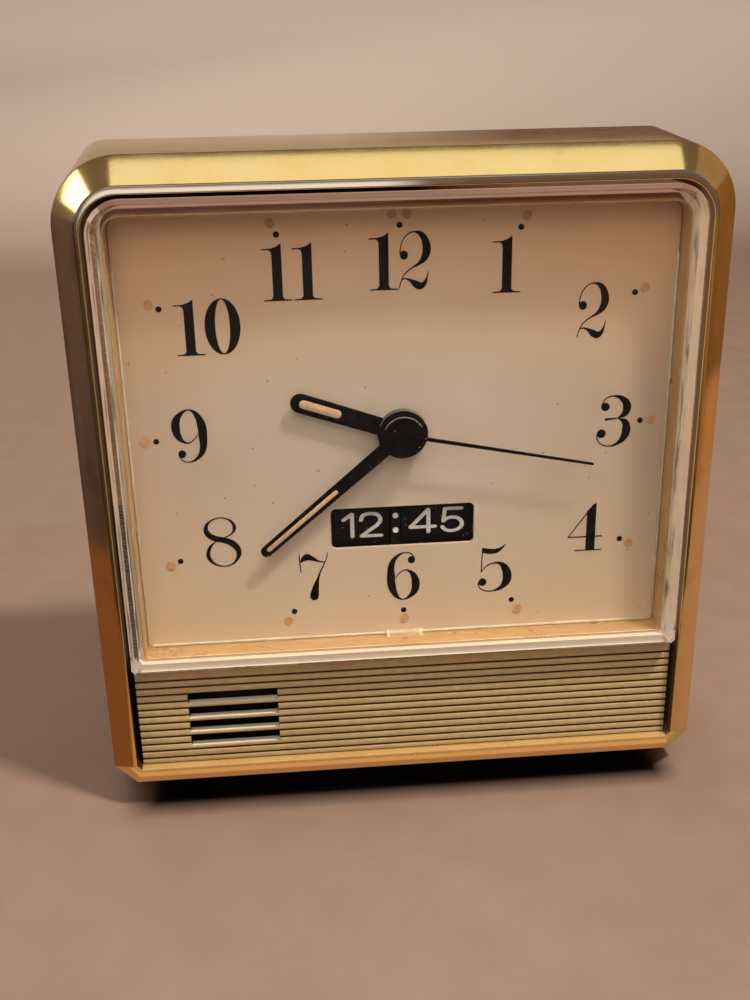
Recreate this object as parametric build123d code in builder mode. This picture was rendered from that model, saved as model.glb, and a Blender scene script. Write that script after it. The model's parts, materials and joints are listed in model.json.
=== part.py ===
from build123d import *
import math
import os

# Travel alarm clock: gold bezel, box crystal, dial with three hands, alarm drums, ribbed grille panel.
# Millimetres, +Z up, the face looks towards -Y, the table is Z = 0 and the case is centred on X = 0.

os.makedirs("parts", exist_ok=True)

# Overall sizes of the clock
overall_depth = 34.0
case_width = 78.6
case_height = 81.5
foot_height = 2.4
top_radius = 8.0
back_top_radius = 3.5
bottom_cut = 2.8
# share of an inset that a 45 degree corner cut loses
cut_share = 2 - math.sqrt(2)

# Gold bezel: bevel, narrow land and opening
bevel_depth = 2.8
bevel_side = 2.75
bevel_top = 3.5
bevel_bottom = 3.3
land_width = 0.55
ring_backing = 0.6
wall = 1.2
wall_depth = 24.2
opening_radius = 4.5
opening_cut = 0.6

# Crystal
crystal_side_gap = 0.8
crystal_top_gap = 0.45
crystal_radius = 4.0
crystal_corner = 0.4
crystal_proud = 1.0
crystal_front = 1.6
crystal_wall = 1.0
crystal_edge = 0.5

# Dial and the gold rim that stands round it
dial_setback = 5.6
dial_side_gap = 0.85
dial_top_gap = 1.15
dial_bottom_gap = 0.45
dial_radius = 1.8
dial_corner = 0.2
dial_thickness = 0.5
rim_gap = 0.05
rim_thickness = 0.25
rim_height = 3.2
lug_width = 4.7
lug_lift = 0.45
lug_depth = 1.0
window_width = 18.3
window_height = 5.5
window_lift = 0.12
window_radius = 0.65

# Fits and clearances
fit = 0.1
seat_gap = 0.15
running = 0.06
free_gap = 0.35

# Ribbed grille panel
panel_side_gap = 0.8
panel_height = 13.7
panel_setback = 2.1
panel_skin = 1.3
panel_wall = 1.2
panel_top_gap = 0.75
rib_count = 12
rib_groove = 0.34
rib_depth = 0.45
first_groove_gap = 1.45
last_groove_gap = 0.7
slot_count = 4
slot_ribs_above = 2
slot_sink = 0.1
slot_length = 11.7
slot_height = 1.5
slot_inset = 6.5

# Inner frame, its pillars and posts
frame_thickness = 1.5
pillar_radius = 2.4
pillar_inset_x = 6.3
pillar_inset_top = 8.4
pillar_lift = 3.2
pilot_radius = 0.95
pilot_depth = 9.0
post_radius = 1.9
post_inset = 2.5
post_low = 3.0
post_pilot_radius = 0.7

# Back cover
cover_step = 4.2
cover_inset = 0.5
cover_floor = 2.6
spigot_length = 2.4
spigot_wall = 1.3
cover_round = 1.2

# Battery, its box and its door
cell_radius = 7.25
cell_length = 49.5
cell_nub_radius = 2.7
cell_nub_length = 1.0
cell_gap = 0.35
box_wall = 1.2
box_lift = 1.2
spring_room = 4.4
contact_thickness = 0.5
contact_inset = 0.9
spring_wire_radius = 0.35
spring_turns = 3
spring_big_radius = 4.2
spring_small_radius = 2.2
door_ledge = 1.6
door_thickness = 1.8
door_notch_width = 12.0
door_notch_depth = 0.7
door_notch_height = 3.2

# Hands, measured from the dial centre, and their strips of luminous paint
hour_length = 14.3
minute_length = 23.5
second_length = 24.3
hour_lume_start = 7.9
hour_lume_inset = 1.1
minute_lume_start = 10.8
minute_lume_inset = 0.9
hour_hub_width = 2.2
hour_tip_width = 2.45
minute_hub_width = 1.8
minute_tip_width = 1.5
second_hub_width = 0.5
second_tip_width = 0.3
hub_radius = 3.1
hand_cap_radius = 2.55
hour_lume_width = 1.05
minute_lume_width = 0.55
hand_thickness = 0.25
hand_gap = 0.35
hour_hand_rise = 0.7
cap_thickness = 0.45
shown_hours = 9
shown_minutes = 38.3
shown_seconds = 16.9

# Radii of the arbors, tubes and studs
second_arbor = 0.4
minute_tube = 0.9
hour_tube = 1.5
pivot = 0.25
motion_stud = 0.45

# Wheels: modules and tooth counts
motion_module = 0.198
cannon_teeth = 12
minute_wheel_teeth = 36
minute_pinion_teeth = 10
hour_wheel_teeth = 40
set_pinion_teeth = 12
third_module = 0.13
second_pinion_teeth = 8
third_wheel_teeth = 60
third_pinion_teeth = 8
centre_wheel_teeth = 64
second_module = 0.126
intermediate_pinion_teeth = 12
second_wheel_teeth = 60
rotor_module = 0.13
rotor_teeth = 8
intermediate_wheel_teeth = 48
tip_share = 0.85
root_share = 1.15
tooth_root_share = 0.29
tooth_tip_share = 0.1

# Places of the wheels round the dial centre, degrees from +X
minute_wheel_angle = 180
set_angle = 150
third_angle = 120
intermediate_angle = 40
rotor_angle = 20

# Layers of the train, from the back of the inner frame
wheel_thickness = 0.5
pinion_thickness = 0.6
layer_gap = 0.2

# Main plate, motor and electronics
plate_thickness = 1.2
plate_top_gap = 6.5
plate_fall = 1.6
train_room = 5.0
rotor_radius = 1.9
rotor_height = 2.0
stator_gap = 0.4
stator_thickness = 0.8
stator_behind = 3.4
stator_width = 17.0
stator_side_gap = 0.75
stator_foot_height = 6.0
stator_leg = 3.5
coil_lift = 8.9
coil_flange_radius = 3.3
coil_flange = 0.7
coil_radius = 3.0
bobbin_wall = 0.5
board_gap = 0.54
board_width = 20.0
board_height = 13.5
board_thickness = 1.0
board_standoff = 2.0
board_post_radius = 1.2
board_post_shares = (0.4, 0.9)
chip_radius = 2.8
chip_height = 1.0
quartz_radius = 1.0
quartz_length = 6.0
cover_depth = 9.2
cover_wall = 1.0
screw_radius = 0.9
screw_head_radius = 1.8
screw_head = 1.3
screw_reach = 8.0
plate_screw_radius = 0.65
plate_screw_head_radius = 1.5
plate_screw_head = 0.9
plate_screw_reach = 3.0

# Time setting knob
set_shaft_radius = 0.9
knob_radius = 5.2
knob_pocket_gap = 0.9
knob_pocket_depth = 1.4
knob_proud = 1.8
knob_lobes = 16
knob_lobe_radius = 0.45

# Alarm drums on a shaft along X
drum_radius = 10.8
drum_wall = 1.0
drum_web = 1.2
drum_setback = 0.5
drum_top_gap = 0.45
drum_bottom_gap = 4.15
drum_hub = 2.2
drum_shaft_radius = 1.0
colon_x = -0.85
colon_width = 1.1
hour_drum_width = 7.3
minute_drum_width = 9.0
drum_side_gap = 0.25
alarm_distance = 6.0
alarm_pinion_teeth = 8
alarm_wheel_teeth = 24
alarm_small_teeth = 8
alarm_hour_teeth = 32
alarm_gear_width = 1.1
alarm_gear_gap = 0.5
idler_stud_radius = 0.7
bracket_thickness = 1.2
bracket_half_height = 8.4
bracket_reach = 14.6
bracket_foot = 5.0
drive_teeth = 24
thumb_teeth = 16
drive_distance = 9.2
drive_width = 1.4
thumb_radius = 7.0
thumb_width = 4.4
thumb_lobes = 28
thumb_lobe_radius = 0.35
thumb_stud_radius = 0.9
thumb_slot_gap = 0.5

# Alarm switch
switch_x = 18.0
switch_lift = 12.0
switch_width = 4.0
switch_height = 3.6
switch_travel = 4.0
switch_proud = 1.0
switch_pocket_depth = 1.0
switch_shank = 1.6
switch_flange = 0.9

# Buzzer
buzzer_radius = 6.5
buzzer_disc_radius = 5.95
buzzer_bore = 5.0
buzzer_depth = 3.0
buzzer_step = 1.4
buzzer_disc_thickness = 0.4

# Feet
foot_radius = 3.6
foot_inset_x = 10.3
foot_front_share = 0.3
foot_back_share = 0.75

# Places that follow from the sizes
crystal_y = -overall_depth / 2
lip_y = crystal_y + crystal_proud
bevel_y = lip_y + bevel_depth
ring_back_y = bevel_y + ring_backing
dial_y = crystal_y + dial_setback
frame_front_y = dial_y + dial_thickness
frame_back_y = frame_front_y + frame_thickness
wall_back_y = bevel_y + wall_depth
cover_back_y = wall_back_y + cover_step
cover_inner_y = cover_back_y - cover_floor
panel_y = crystal_y + panel_setback
half_width = case_width / 2
case_bottom = foot_height
case_top = foot_height + case_height
opening_half = half_width - bevel_side - land_width
opening_top = case_top - bevel_top - land_width
opening_bottom = case_bottom + bevel_bottom + land_width
panel_half = opening_half - panel_side_gap
panel_bottom = opening_bottom + seat_gap
panel_top = panel_bottom + panel_height
crystal_half = opening_half - crystal_side_gap
crystal_top = opening_top - crystal_top_gap
crystal_bottom = panel_top + panel_top_gap
dial_half = crystal_half - crystal_wall - dial_side_gap
dial_top = crystal_top - crystal_wall - dial_top_gap
dial_bottom = crystal_bottom + crystal_wall + dial_bottom_gap

# Heights from the table: the battery box, the drums over it, then the dial centre
box_low = case_bottom + wall + box_lift
box_inner_low = box_low + box_wall
cell_z = box_inner_low + cell_gap + cell_radius
box_inner_high = cell_z + cell_radius + cell_gap
box_high = box_inner_high + box_wall
window_z = box_high + drum_bottom_gap + drum_radius
dial_z = window_z + drum_radius + drum_top_gap + plate_fall
plate_low = dial_z - plate_fall
plate_high = case_top - wall - plate_top_gap


def facing(y, x=0, z=0):
    """Plane seen from the front of the clock: local x is X, local y is Z, its normal is -Y."""
    return Plane(origin=(x, y, z), x_dir=(1, 0, 0), z_dir=(0, -1, 0))


def sideways(x, y=0, z=0):
    """Plane across the drum axis: local x is Y, local y is Z, its normal is +X."""
    return Plane(origin=(x, y, z), x_dir=(0, 1, 0), z_dir=(1, 0, 0))


def around(x, z, distance, angle):
    """Point at a distance and an angle from a point of the face."""
    turn = math.radians(angle)
    return x + distance * math.cos(turn), z + distance * math.sin(turn)


def keep(part, label):
    """Names a finished piece and writes it."""
    part.label = label
    export_step(part, f"parts/{label}.step")


def arched(half, low, high, radius, cut):
    """Outline with round top corners and cut bottom corners, in the sketch that is open."""
    with BuildLine() as edge:
        Polyline(
            (-half, high - radius),
            (-half, low + cut),
            (-half + cut, low),
            (half - cut, low),
            (half, low + cut),
            (half, high - radius),
        )
        CenterArc((half - radius, high - radius), radius, 0, 90)
        Line((half - radius, high), (-half + radius, high))
        CenterArc((-half + radius, high - radius), radius, 90, 90)
    make_face(edge.edges())


def case_outline(inset):
    """Outline of the case, drawn in by an inset."""
    arched(
        half_width - inset,
        case_bottom + inset,
        case_top - inset,
        top_radius - inset,
        bottom_cut - inset * cut_share,
    )


def dial_outline(growth):
    """Outline of the dial, let out by a growth."""
    arched(
        dial_half + growth,
        dial_bottom - growth,
        dial_top + growth,
        dial_radius + growth,
        dial_corner + growth * cut_share,
    )


def block(x_low, x_high, z_low, z_high, mode=Mode.ADD):
    """Rectangle by its edges, in a sketch that faces the front."""
    with Locations(((x_low + x_high) / 2, (z_low + z_high) / 2)):
        Rectangle(x_high - x_low, z_high - z_low, mode=mode)


def toothed(teeth, module, phase):
    """Outline of a toothed wheel with plain tapered teeth, the first one at the phase angle."""
    pitch = 2 * math.pi / teeth
    tip = module * (teeth / 2 + tip_share)
    root = module * (teeth / 2 - root_share)
    points = []
    for tooth in range(teeth):
        middle = phase + tooth * pitch
        for radius, share in ((root, -tooth_root_share), (tip, -tooth_tip_share),
                              (tip, tooth_tip_share), (root, tooth_root_share)):
            turn = middle + share * pitch
            points.append((radius * math.cos(turn), radius * math.sin(turn)))
    with BuildLine() as edge:
        Polyline(*points, close=True)
    make_face(edge.edges())


def meshing(teeth, phase, other_teeth, angle):
    """Phase of a wheel that meshes with one of known phase, lying at an angle in degrees from it."""
    line = math.radians(angle)
    return line + math.pi - (teeth * (phase - line) + math.pi) / other_teeth


def turned(label, plane_at, sense, layers, bore=0, pockets=()):
    """Piece of round or toothed layers along one axis, less ring pockets, each from a start to an end."""
    first = min(layer[1] for layer in layers)
    last = max(layer[2] for layer in layers)
    with BuildPart() as piece:
        for shape, start, end in layers:
            with BuildSketch(plane_at(start)):
                if isinstance(shape, tuple):
                    toothed(*shape)
                else:
                    Circle(shape)
            extrude(amount=sense * (end - start))
        for outer, inner, start, end in pockets:
            with BuildSketch(plane_at(start)):
                Circle(outer)
                Circle(inner, mode=Mode.SUBTRACT)
            extrude(amount=sense * (end - start), mode=Mode.SUBTRACT)
        if bore:
            with BuildSketch(plane_at(first)):
                Circle(bore)
            extrude(amount=sense * (last - first), mode=Mode.SUBTRACT)
    keep(piece.part, label)


def arbor(label, x, z, layers, bore=0):
    """Turned piece along Y, its layers from front to back."""
    turned(label, lambda y: facing(y, x, z), -1, layers, bore)


def spindle(label, y, z, layers, bore=0, pockets=()):
    """Turned piece along X, its layers and pockets from left to right."""
    turned(label, lambda x: sideways(x, y, z), 1, layers, bore, pockets)


# Layers of the motion work and the going train along Y
hour_layer = frame_back_y + layer_gap
cannon_layer = hour_layer + pinion_thickness + layer_gap
centre_layer = cannon_layer + pinion_thickness + layer_gap
second_layer = centre_layer + wheel_thickness + layer_gap
third_layer = second_layer + wheel_thickness + layer_gap
intermediate_layer = third_layer + pinion_thickness + layer_gap
plate_front_y = frame_back_y + train_room
plate_back_y = plate_front_y + plate_thickness

# Places of the wheels
motion_distance = motion_module * (cannon_teeth + minute_wheel_teeth) / 2
hour_module = 2 * motion_distance / (minute_pinion_teeth + hour_wheel_teeth)
set_distance = motion_module * (set_pinion_teeth + minute_wheel_teeth) / 2
third_distance = third_module * (second_pinion_teeth + third_wheel_teeth) / 2
centre_module = 2 * third_distance / (third_pinion_teeth + centre_wheel_teeth)
intermediate_distance = second_module * (intermediate_pinion_teeth + second_wheel_teeth) / 2
rotor_distance = rotor_module * (rotor_teeth + intermediate_wheel_teeth) / 2
minute_wheel_x, minute_wheel_z = around(0, dial_z, motion_distance, minute_wheel_angle)
set_x, set_z = around(minute_wheel_x, minute_wheel_z, set_distance, set_angle)
third_x, third_z = around(0, dial_z, third_distance, third_angle)
intermediate_x, intermediate_z = around(0, dial_z, intermediate_distance, intermediate_angle)
rotor_x, rotor_z = around(intermediate_x, intermediate_z, rotor_distance, rotor_angle)

# Stator and, round it, the main plate and its posts; pillars for the case screws
stator_left = rotor_x - rotor_radius - stator_leg / 2
stator_right = stator_left + stator_width
plate_half_width = stator_right + stator_side_gap + cover_wall
post_half_span = plate_half_width - post_inset
posts = [
    (side * post_half_span, height)
    for side in (-1, 1)
    for height in (dial_z + post_low, plate_high - post_inset)
]
pillar_x = half_width - pillar_inset_x
pillars = [
    (side * pillar_x, height)
    for side in (-1, 1)
    for height in (box_high + pillar_lift, case_top - pillar_inset_top)
]

# Alarm drums: their axis and the places along it
drum_y = frame_front_y + drum_setback + drum_radius
colon_left = colon_x - colon_width / 2
colon_right = colon_x + colon_width / 2
hour_drum_right = colon_left - drum_side_gap
hour_drum_left = hour_drum_right - hour_drum_width
minute_drum_left = colon_right + drum_side_gap
minute_drum_right = minute_drum_left + minute_drum_width
hour_gear_left = hour_drum_left - alarm_gear_gap - alarm_gear_width
pinion_left = hour_gear_left - alarm_gear_gap - alarm_gear_width
bracket_left_x = pinion_left - alarm_gear_gap
drive_left = minute_drum_right + alarm_gear_gap
thumb_left = drive_left + drive_width + alarm_gear_gap
bracket_right_x = thumb_left + thumb_width + alarm_gear_gap
thumb_y = drum_y + drive_distance
alarm_module = 2 * alarm_distance / (alarm_pinion_teeth + alarm_wheel_teeth)
alarm_hour_module = 2 * alarm_distance / (alarm_small_teeth + alarm_hour_teeth)
drive_module = 2 * drive_distance / (drive_teeth + thumb_teeth)
idler_z = window_z - alarm_distance

# Gold bezel with its side wall
with BuildPart() as bezel_frame:
    with BuildSketch(facing(bevel_y)):
        case_outline(0)
    with BuildSketch(facing(lip_y)):
        arched(
            half_width - bevel_side,
            case_bottom + bevel_bottom,
            case_top - bevel_top,
            opening_radius + land_width,
            opening_cut + land_width * cut_share,
        )
    loft(ruled=True)
    with BuildSketch(facing(bevel_y)):
        case_outline(0)
    with BuildSketch(facing(wall_back_y)):
        arched(half_width, case_bottom, case_top, back_top_radius, bottom_cut)
    loft(ruled=True)
    with BuildSketch(facing(ring_back_y)):
        arched(opening_half, opening_bottom, opening_top, opening_radius, opening_cut)
    extrude(amount=ring_back_y - lip_y, mode=Mode.SUBTRACT)
    with BuildSketch(facing(wall_back_y)):
        case_outline(wall)
    extrude(amount=wall_back_y - ring_back_y, mode=Mode.SUBTRACT)
keep(bezel_frame.part, "bezel_frame")

# Clear box crystal, its walls standing on the inner frame
with BuildPart() as crystal:
    with BuildSketch(facing(frame_front_y)):
        arched(crystal_half, crystal_bottom, crystal_top, crystal_radius, crystal_corner)
    extrude(amount=frame_front_y - crystal_y)
    chamfer(crystal.faces().sort_by(Axis.Y)[0].edges(), length=crystal_edge)
    with BuildSketch(facing(frame_front_y)):
        arched(
            crystal_half - crystal_wall,
            crystal_bottom + crystal_wall,
            crystal_top - crystal_wall,
            crystal_radius - crystal_wall,
            crystal_corner,
        )
    extrude(amount=frame_front_y - crystal_y - crystal_front, mode=Mode.SUBTRACT)
keep(crystal.part, "crystal")

# Dial plate with its hub hole and the alarm window
with BuildPart() as dial:
    with BuildSketch(facing(frame_front_y)):
        dial_outline(0)
        with Locations((0, dial_z)):
            Circle(hour_tube + free_gap, mode=Mode.SUBTRACT)
        with Locations((0, window_z + window_lift)):
            RectangleRounded(window_width, window_height, window_radius, mode=Mode.SUBTRACT)
    extrude(amount=dial_thickness)
keep(dial.part, "dial")

# Gold rim round the dial, with a small lug at the middle of its lower edge
rim_front_y = dial_y - rim_height
with BuildPart() as dial_rim:
    with BuildSketch(facing(frame_front_y)):
        dial_outline(rim_gap + rim_thickness)
    extrude(amount=frame_front_y - rim_front_y)
    with BuildSketch(facing(frame_front_y)):
        dial_outline(rim_gap)
    extrude(amount=frame_front_y - rim_front_y, mode=Mode.SUBTRACT)
    with BuildSketch(facing(dial_y)):
        block(
            -lug_width / 2,
            lug_width / 2,
            dial_bottom - rim_gap - rim_thickness / 2,
            dial_bottom + lug_lift,
        )
    extrude(amount=lug_depth)
keep(dial_rim.part, "dial_rim")

# Grille panel: a ribbed skin with four sound slots, on walls that stand on the inner frame
rib_pitch = (panel_height - first_groove_gap - last_groove_gap) / (rib_count - 1)
slot_left = -panel_half + slot_inset
slot_top = panel_top - first_groove_gap - slot_ribs_above * rib_pitch - slot_sink
slot_zs = [slot_top - slot_height / 2 - index * 2 * rib_pitch for index in range(slot_count)]
sound_x = slot_left + slot_length / 2
sound_z = (slot_zs[0] + slot_zs[-1]) / 2
with BuildPart() as grille_panel:
    with BuildSketch(facing(frame_front_y)):
        block(-panel_half, panel_half, panel_bottom, panel_top)
    extrude(amount=frame_front_y - panel_y)
    with BuildSketch(facing(frame_front_y)):
        block(
            -panel_half + panel_wall,
            panel_half - panel_wall,
            panel_bottom + panel_wall,
            panel_top - panel_wall,
        )
    extrude(amount=frame_front_y - panel_y - panel_skin, mode=Mode.SUBTRACT)
    with BuildSketch(facing(panel_y + rib_depth)):
        for rib in range(rib_count):
            with Locations((0, panel_top - first_groove_gap - rib * rib_pitch)):
                Rectangle(panel_half * 2, rib_groove)
    extrude(amount=rib_depth, mode=Mode.SUBTRACT)
    with BuildSketch(facing(frame_front_y)):
        for slot_z in slot_zs:
            with Locations((sound_x, slot_z)):
                Rectangle(slot_length, slot_height)
    extrude(amount=frame_front_y - panel_y, mode=Mode.SUBTRACT)
keep(grille_panel.part, "grille_panel")

# Inner frame: plate behind dial and panel, rim round the crystal, pillars, posts, colon bar
with BuildPart() as front_frame:
    with BuildSketch(facing(frame_back_y)):
        case_outline(wall + fit)
    extrude(amount=frame_back_y - ring_back_y)
    with BuildSketch(facing(frame_front_y)):
        arched(
            crystal_half + seat_gap,
            panel_bottom - seat_gap,
            crystal_top + seat_gap,
            crystal_radius + seat_gap,
            fit,
        )
    extrude(amount=frame_front_y - ring_back_y, mode=Mode.SUBTRACT)
    with BuildSketch(facing(frame_back_y)):
        with Locations((0, dial_z)):
            Circle(hour_tube + free_gap)
        with Locations((0, window_z)):
            Rectangle(window_width + free_gap * 2, window_height * 2)
        with Locations((sound_x, sound_z)):
            Circle(buzzer_bore)
        with Locations((third_x, third_z), (intermediate_x, intermediate_z)):
            Circle(pivot + running)
    extrude(amount=frame_thickness, mode=Mode.SUBTRACT)
    with BuildSketch(facing(frame_back_y)):
        block(colon_left, colon_right, window_z - window_height, window_z + window_height)
    extrude(amount=frame_thickness - drum_setback / 2)
    with BuildSketch(facing(cover_inner_y)):
        with Locations(*pillars):
            Circle(pillar_radius)
    extrude(amount=cover_inner_y - frame_back_y)
    with BuildSketch(facing(cover_inner_y)):
        with Locations(*pillars):
            Circle(pilot_radius)
    extrude(amount=pilot_depth, mode=Mode.SUBTRACT)
    with BuildSketch(facing(plate_front_y)):
        with Locations(*posts):
            Circle(post_radius)
    extrude(amount=train_room)
    with BuildSketch(facing(plate_front_y)):
        with Locations(*posts):
            Circle(post_pilot_radius)
    extrude(amount=plate_screw_reach, mode=Mode.SUBTRACT)
    with BuildSketch(facing(cannon_layer + pinion_thickness, minute_wheel_x, minute_wheel_z)):
        Circle(motion_stud)
    extrude(amount=cannon_layer + pinion_thickness - frame_back_y)
keep(front_frame.part, "front_frame")

# Battery box along and behind the cell
cell_y = cover_inner_y - cell_gap - cell_radius
cell_total = cell_length + cell_nub_length
box_inner_half = (cell_total + spring_room + contact_thickness) / 2 + contact_inset
box_half = box_inner_half + box_wall
box_inner_front = cell_y - cell_radius - cell_gap
box_front = box_inner_front - box_wall
cell_right = box_inner_half - contact_inset - contact_thickness
cell_left = cell_right - cell_total
door_half = box_inner_half + door_ledge
door_low = box_inner_low - door_ledge / 2
door_high = box_inner_high + door_ledge
door_front_y = cover_back_y - door_thickness
switch_z = dial_z + switch_lift
thumb_slot_half = thumb_radius + thumb_slot_gap
thumb_gear_reach = drive_module * (thumb_teeth / 2 + tip_share) + thumb_slot_gap
pocket_floor_y = cover_back_y - knob_pocket_depth
switch_floor_y = cover_back_y - switch_pocket_depth

# Back cover with the battery box, the knob pocket, the thumb wheel slot and the switch slot
with BuildPart() as back_cover:
    with BuildSketch(facing(cover_back_y)):
        arched(
            half_width - cover_inset,
            case_bottom + cover_inset,
            case_top - cover_inset,
            back_top_radius - cover_inset,
            bottom_cut - cover_inset * cut_share,
        )
    extrude(amount=cover_step)
    chamfer(back_cover.faces().sort_by(Axis.Y)[-1].edges(), length=cover_round)
    with BuildSketch(facing(wall_back_y)):
        case_outline(wall + fit)
    extrude(amount=spigot_length)
    with BuildSketch(facing(cover_inner_y)):
        case_outline(wall + fit + spigot_wall)
    extrude(amount=cover_inner_y - wall_back_y + spigot_length, mode=Mode.SUBTRACT)
    with BuildSketch(facing(cover_inner_y)):
        block(-box_half, box_half, box_low, box_high)
    extrude(amount=cover_inner_y - box_front)
    with BuildSketch(facing(cover_back_y)):
        block(-box_inner_half, box_inner_half, box_inner_low, box_inner_high)
    extrude(amount=cover_back_y - box_inner_front, mode=Mode.SUBTRACT)
    with BuildSketch(facing(cover_back_y)):
        block(-door_half - fit, door_half + fit, door_low - fit, door_high + fit)
    extrude(amount=door_thickness, mode=Mode.SUBTRACT)
    with BuildSketch(facing(cover_back_y)):
        with Locations((set_x, set_z)):
            Circle(knob_radius + knob_pocket_gap)
    extrude(amount=knob_pocket_depth, mode=Mode.SUBTRACT)
    with BuildSketch(facing(pocket_floor_y)):
        with Locations((set_x, set_z)):
            Circle(set_shaft_radius + running)
    extrude(amount=pocket_floor_y - cover_inner_y, mode=Mode.SUBTRACT)
    with BuildSketch(facing(cover_back_y)):
        block(
            thumb_left - thumb_slot_gap,
            thumb_left + thumb_width + thumb_slot_gap,
            window_z - thumb_slot_half,
            window_z + thumb_slot_half,
        )
    extrude(amount=cover_floor, mode=Mode.SUBTRACT)
    with BuildSketch(facing(thumb_y + thumb_gear_reach)):
        block(
            drive_left - thumb_slot_gap,
            thumb_left,
            window_z - thumb_gear_reach,
            window_z + thumb_gear_reach,
        )
    extrude(amount=thumb_gear_reach, mode=Mode.SUBTRACT)
    with BuildSketch(facing(cover_back_y)):
        block(
            switch_x - switch_width / 2 - seat_gap,
            switch_x + switch_width / 2 + switch_travel + seat_gap,
            switch_z - switch_height / 2 - seat_gap,
            switch_z + switch_height / 2 + seat_gap,
        )
    extrude(amount=switch_pocket_depth, mode=Mode.SUBTRACT)
    with BuildSketch(facing(switch_floor_y)):
        block(
            switch_x - switch_shank / 2 - seat_gap,
            switch_x + switch_shank / 2 + switch_travel + seat_gap,
            switch_z - switch_shank / 2 - seat_gap,
            switch_z + switch_shank / 2 + seat_gap,
        )
    extrude(amount=switch_floor_y - cover_inner_y, mode=Mode.SUBTRACT)
    with BuildSketch(facing(cover_back_y)):
        with Locations(*pillars):
            Circle(screw_head_radius + seat_gap)
    extrude(amount=screw_head, mode=Mode.SUBTRACT)
    with BuildSketch(facing(cover_back_y)):
        with Locations(*pillars):
            Circle(screw_radius + running)
    extrude(amount=cover_floor, mode=Mode.SUBTRACT)
keep(back_cover.part, "back_cover")

# Battery door, with a finger notch in its outer face
with BuildPart() as battery_door:
    with BuildSketch(facing(cover_back_y)):
        block(-door_half, door_half, door_low, door_high)
    extrude(amount=door_thickness)
    with BuildSketch(facing(cover_back_y)):
        with Locations((0, door_high - door_notch_height)):
            SlotOverall(door_notch_width, door_notch_height)
    extrude(amount=door_notch_depth, mode=Mode.SUBTRACT)
keep(battery_door.part, "battery_door")

# Cell, with its nub at the right
spindle(
    "battery_cell",
    cell_y,
    cell_z,
    [
        (cell_radius, cell_left, cell_left + cell_length),
        (cell_nub_radius, cell_left + cell_length, cell_right),
    ],
)

# Flat contact at the nub
with BuildPart() as contact_plate:
    with BuildSketch(sideways(cell_right, cell_y, cell_z)):
        Rectangle(cell_radius, cell_radius)
    extrude(amount=contact_thickness)
    with BuildSketch(sideways(cell_right + contact_thickness, cell_y, cell_z)):
        Circle(cell_nub_radius)
    extrude(amount=contact_inset)
keep(contact_plate.part, "contact_plate")

# Coil spring contact at the flat end: conical turns from the box wall to the cell
spring_start = -box_inner_half + spring_wire_radius
spring_height = cell_left - spring_wire_radius - spring_start
spring_taper = math.atan((spring_big_radius - spring_small_radius) / spring_height)
with BuildPart() as contact_spring:
    with BuildLine():
        spring_path = Helix(
            center=(spring_start, cell_y, cell_z),
            direction=(1, 0, 0),
            pitch=spring_height / spring_turns,
            height=spring_height,
            radius=spring_big_radius,
            cone_angle=-math.degrees(spring_taper),
        )
    with BuildSketch(Plane(origin=spring_path @ 0, z_dir=spring_path % 0)):
        Circle(spring_wire_radius)
    sweep(path=spring_path)
keep(contact_spring.part, "contact_spring")

# Case screws in their pillars
with BuildPart() as case_screws:
    with BuildSketch(facing(cover_back_y)):
        with Locations(*pillars):
            Circle(screw_head_radius)
    extrude(amount=screw_head)
    with BuildSketch(facing(cover_back_y - screw_head)):
        with Locations(*pillars):
            Circle(screw_radius)
    extrude(amount=screw_reach)
keep(case_screws.part, "case_screws")

# Feet under the case
foot_x = half_width - foot_inset_x
foot_ys = [bevel_y + wall_depth * share for share in (foot_front_share, foot_back_share)]
with BuildPart() as feet:
    with BuildSketch(Plane.XY):
        with Locations(*[(side * foot_x, y) for side in (-1, 1) for y in foot_ys]):
            Circle(foot_radius)
    extrude(amount=foot_height)
keep(feet.part, "feet")

# Main plate of the movement, with posts for the circuit board
board_right = stator_left - board_gap
board_left = board_right - board_width
board_high = plate_high - cover_wall - fit
board_low = board_high - board_height
board_posts = [
    (board_left + board_width * share, board_low + board_post_radius) for share in board_post_shares
]
with BuildPart() as main_plate:
    with BuildSketch(facing(plate_back_y)):
        block(-plate_half_width, plate_half_width, plate_low, plate_high)
        with Locations((0, dial_z)):
            Circle(second_arbor + running, mode=Mode.SUBTRACT)
        with Locations((third_x, third_z), (intermediate_x, intermediate_z)):
            Circle(pivot + running, mode=Mode.SUBTRACT)
        with Locations((rotor_x, rotor_z)):
            Circle(second_arbor + running, mode=Mode.SUBTRACT)
        with Locations((set_x, set_z)):
            Circle(set_shaft_radius + running, mode=Mode.SUBTRACT)
        with Locations(*posts):
            Circle(plate_screw_radius + running, mode=Mode.SUBTRACT)
    extrude(amount=plate_thickness)
    with BuildSketch(facing(plate_back_y + board_standoff)):
        with Locations(*board_posts):
            Circle(board_post_radius)
    extrude(amount=board_standoff)
keep(main_plate.part, "main_plate")

# Screws that hold the main plate to the posts of the inner frame
with BuildPart() as plate_screws:
    with BuildSketch(facing(plate_back_y + plate_screw_head)):
        with Locations(*posts):
            Circle(plate_screw_head_radius)
    extrude(amount=plate_screw_head)
    with BuildSketch(facing(plate_back_y)):
        with Locations(*posts):
            Circle(plate_screw_radius)
    extrude(amount=plate_thickness + plate_screw_reach)
keep(plate_screws.part, "plate_screws")

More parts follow.
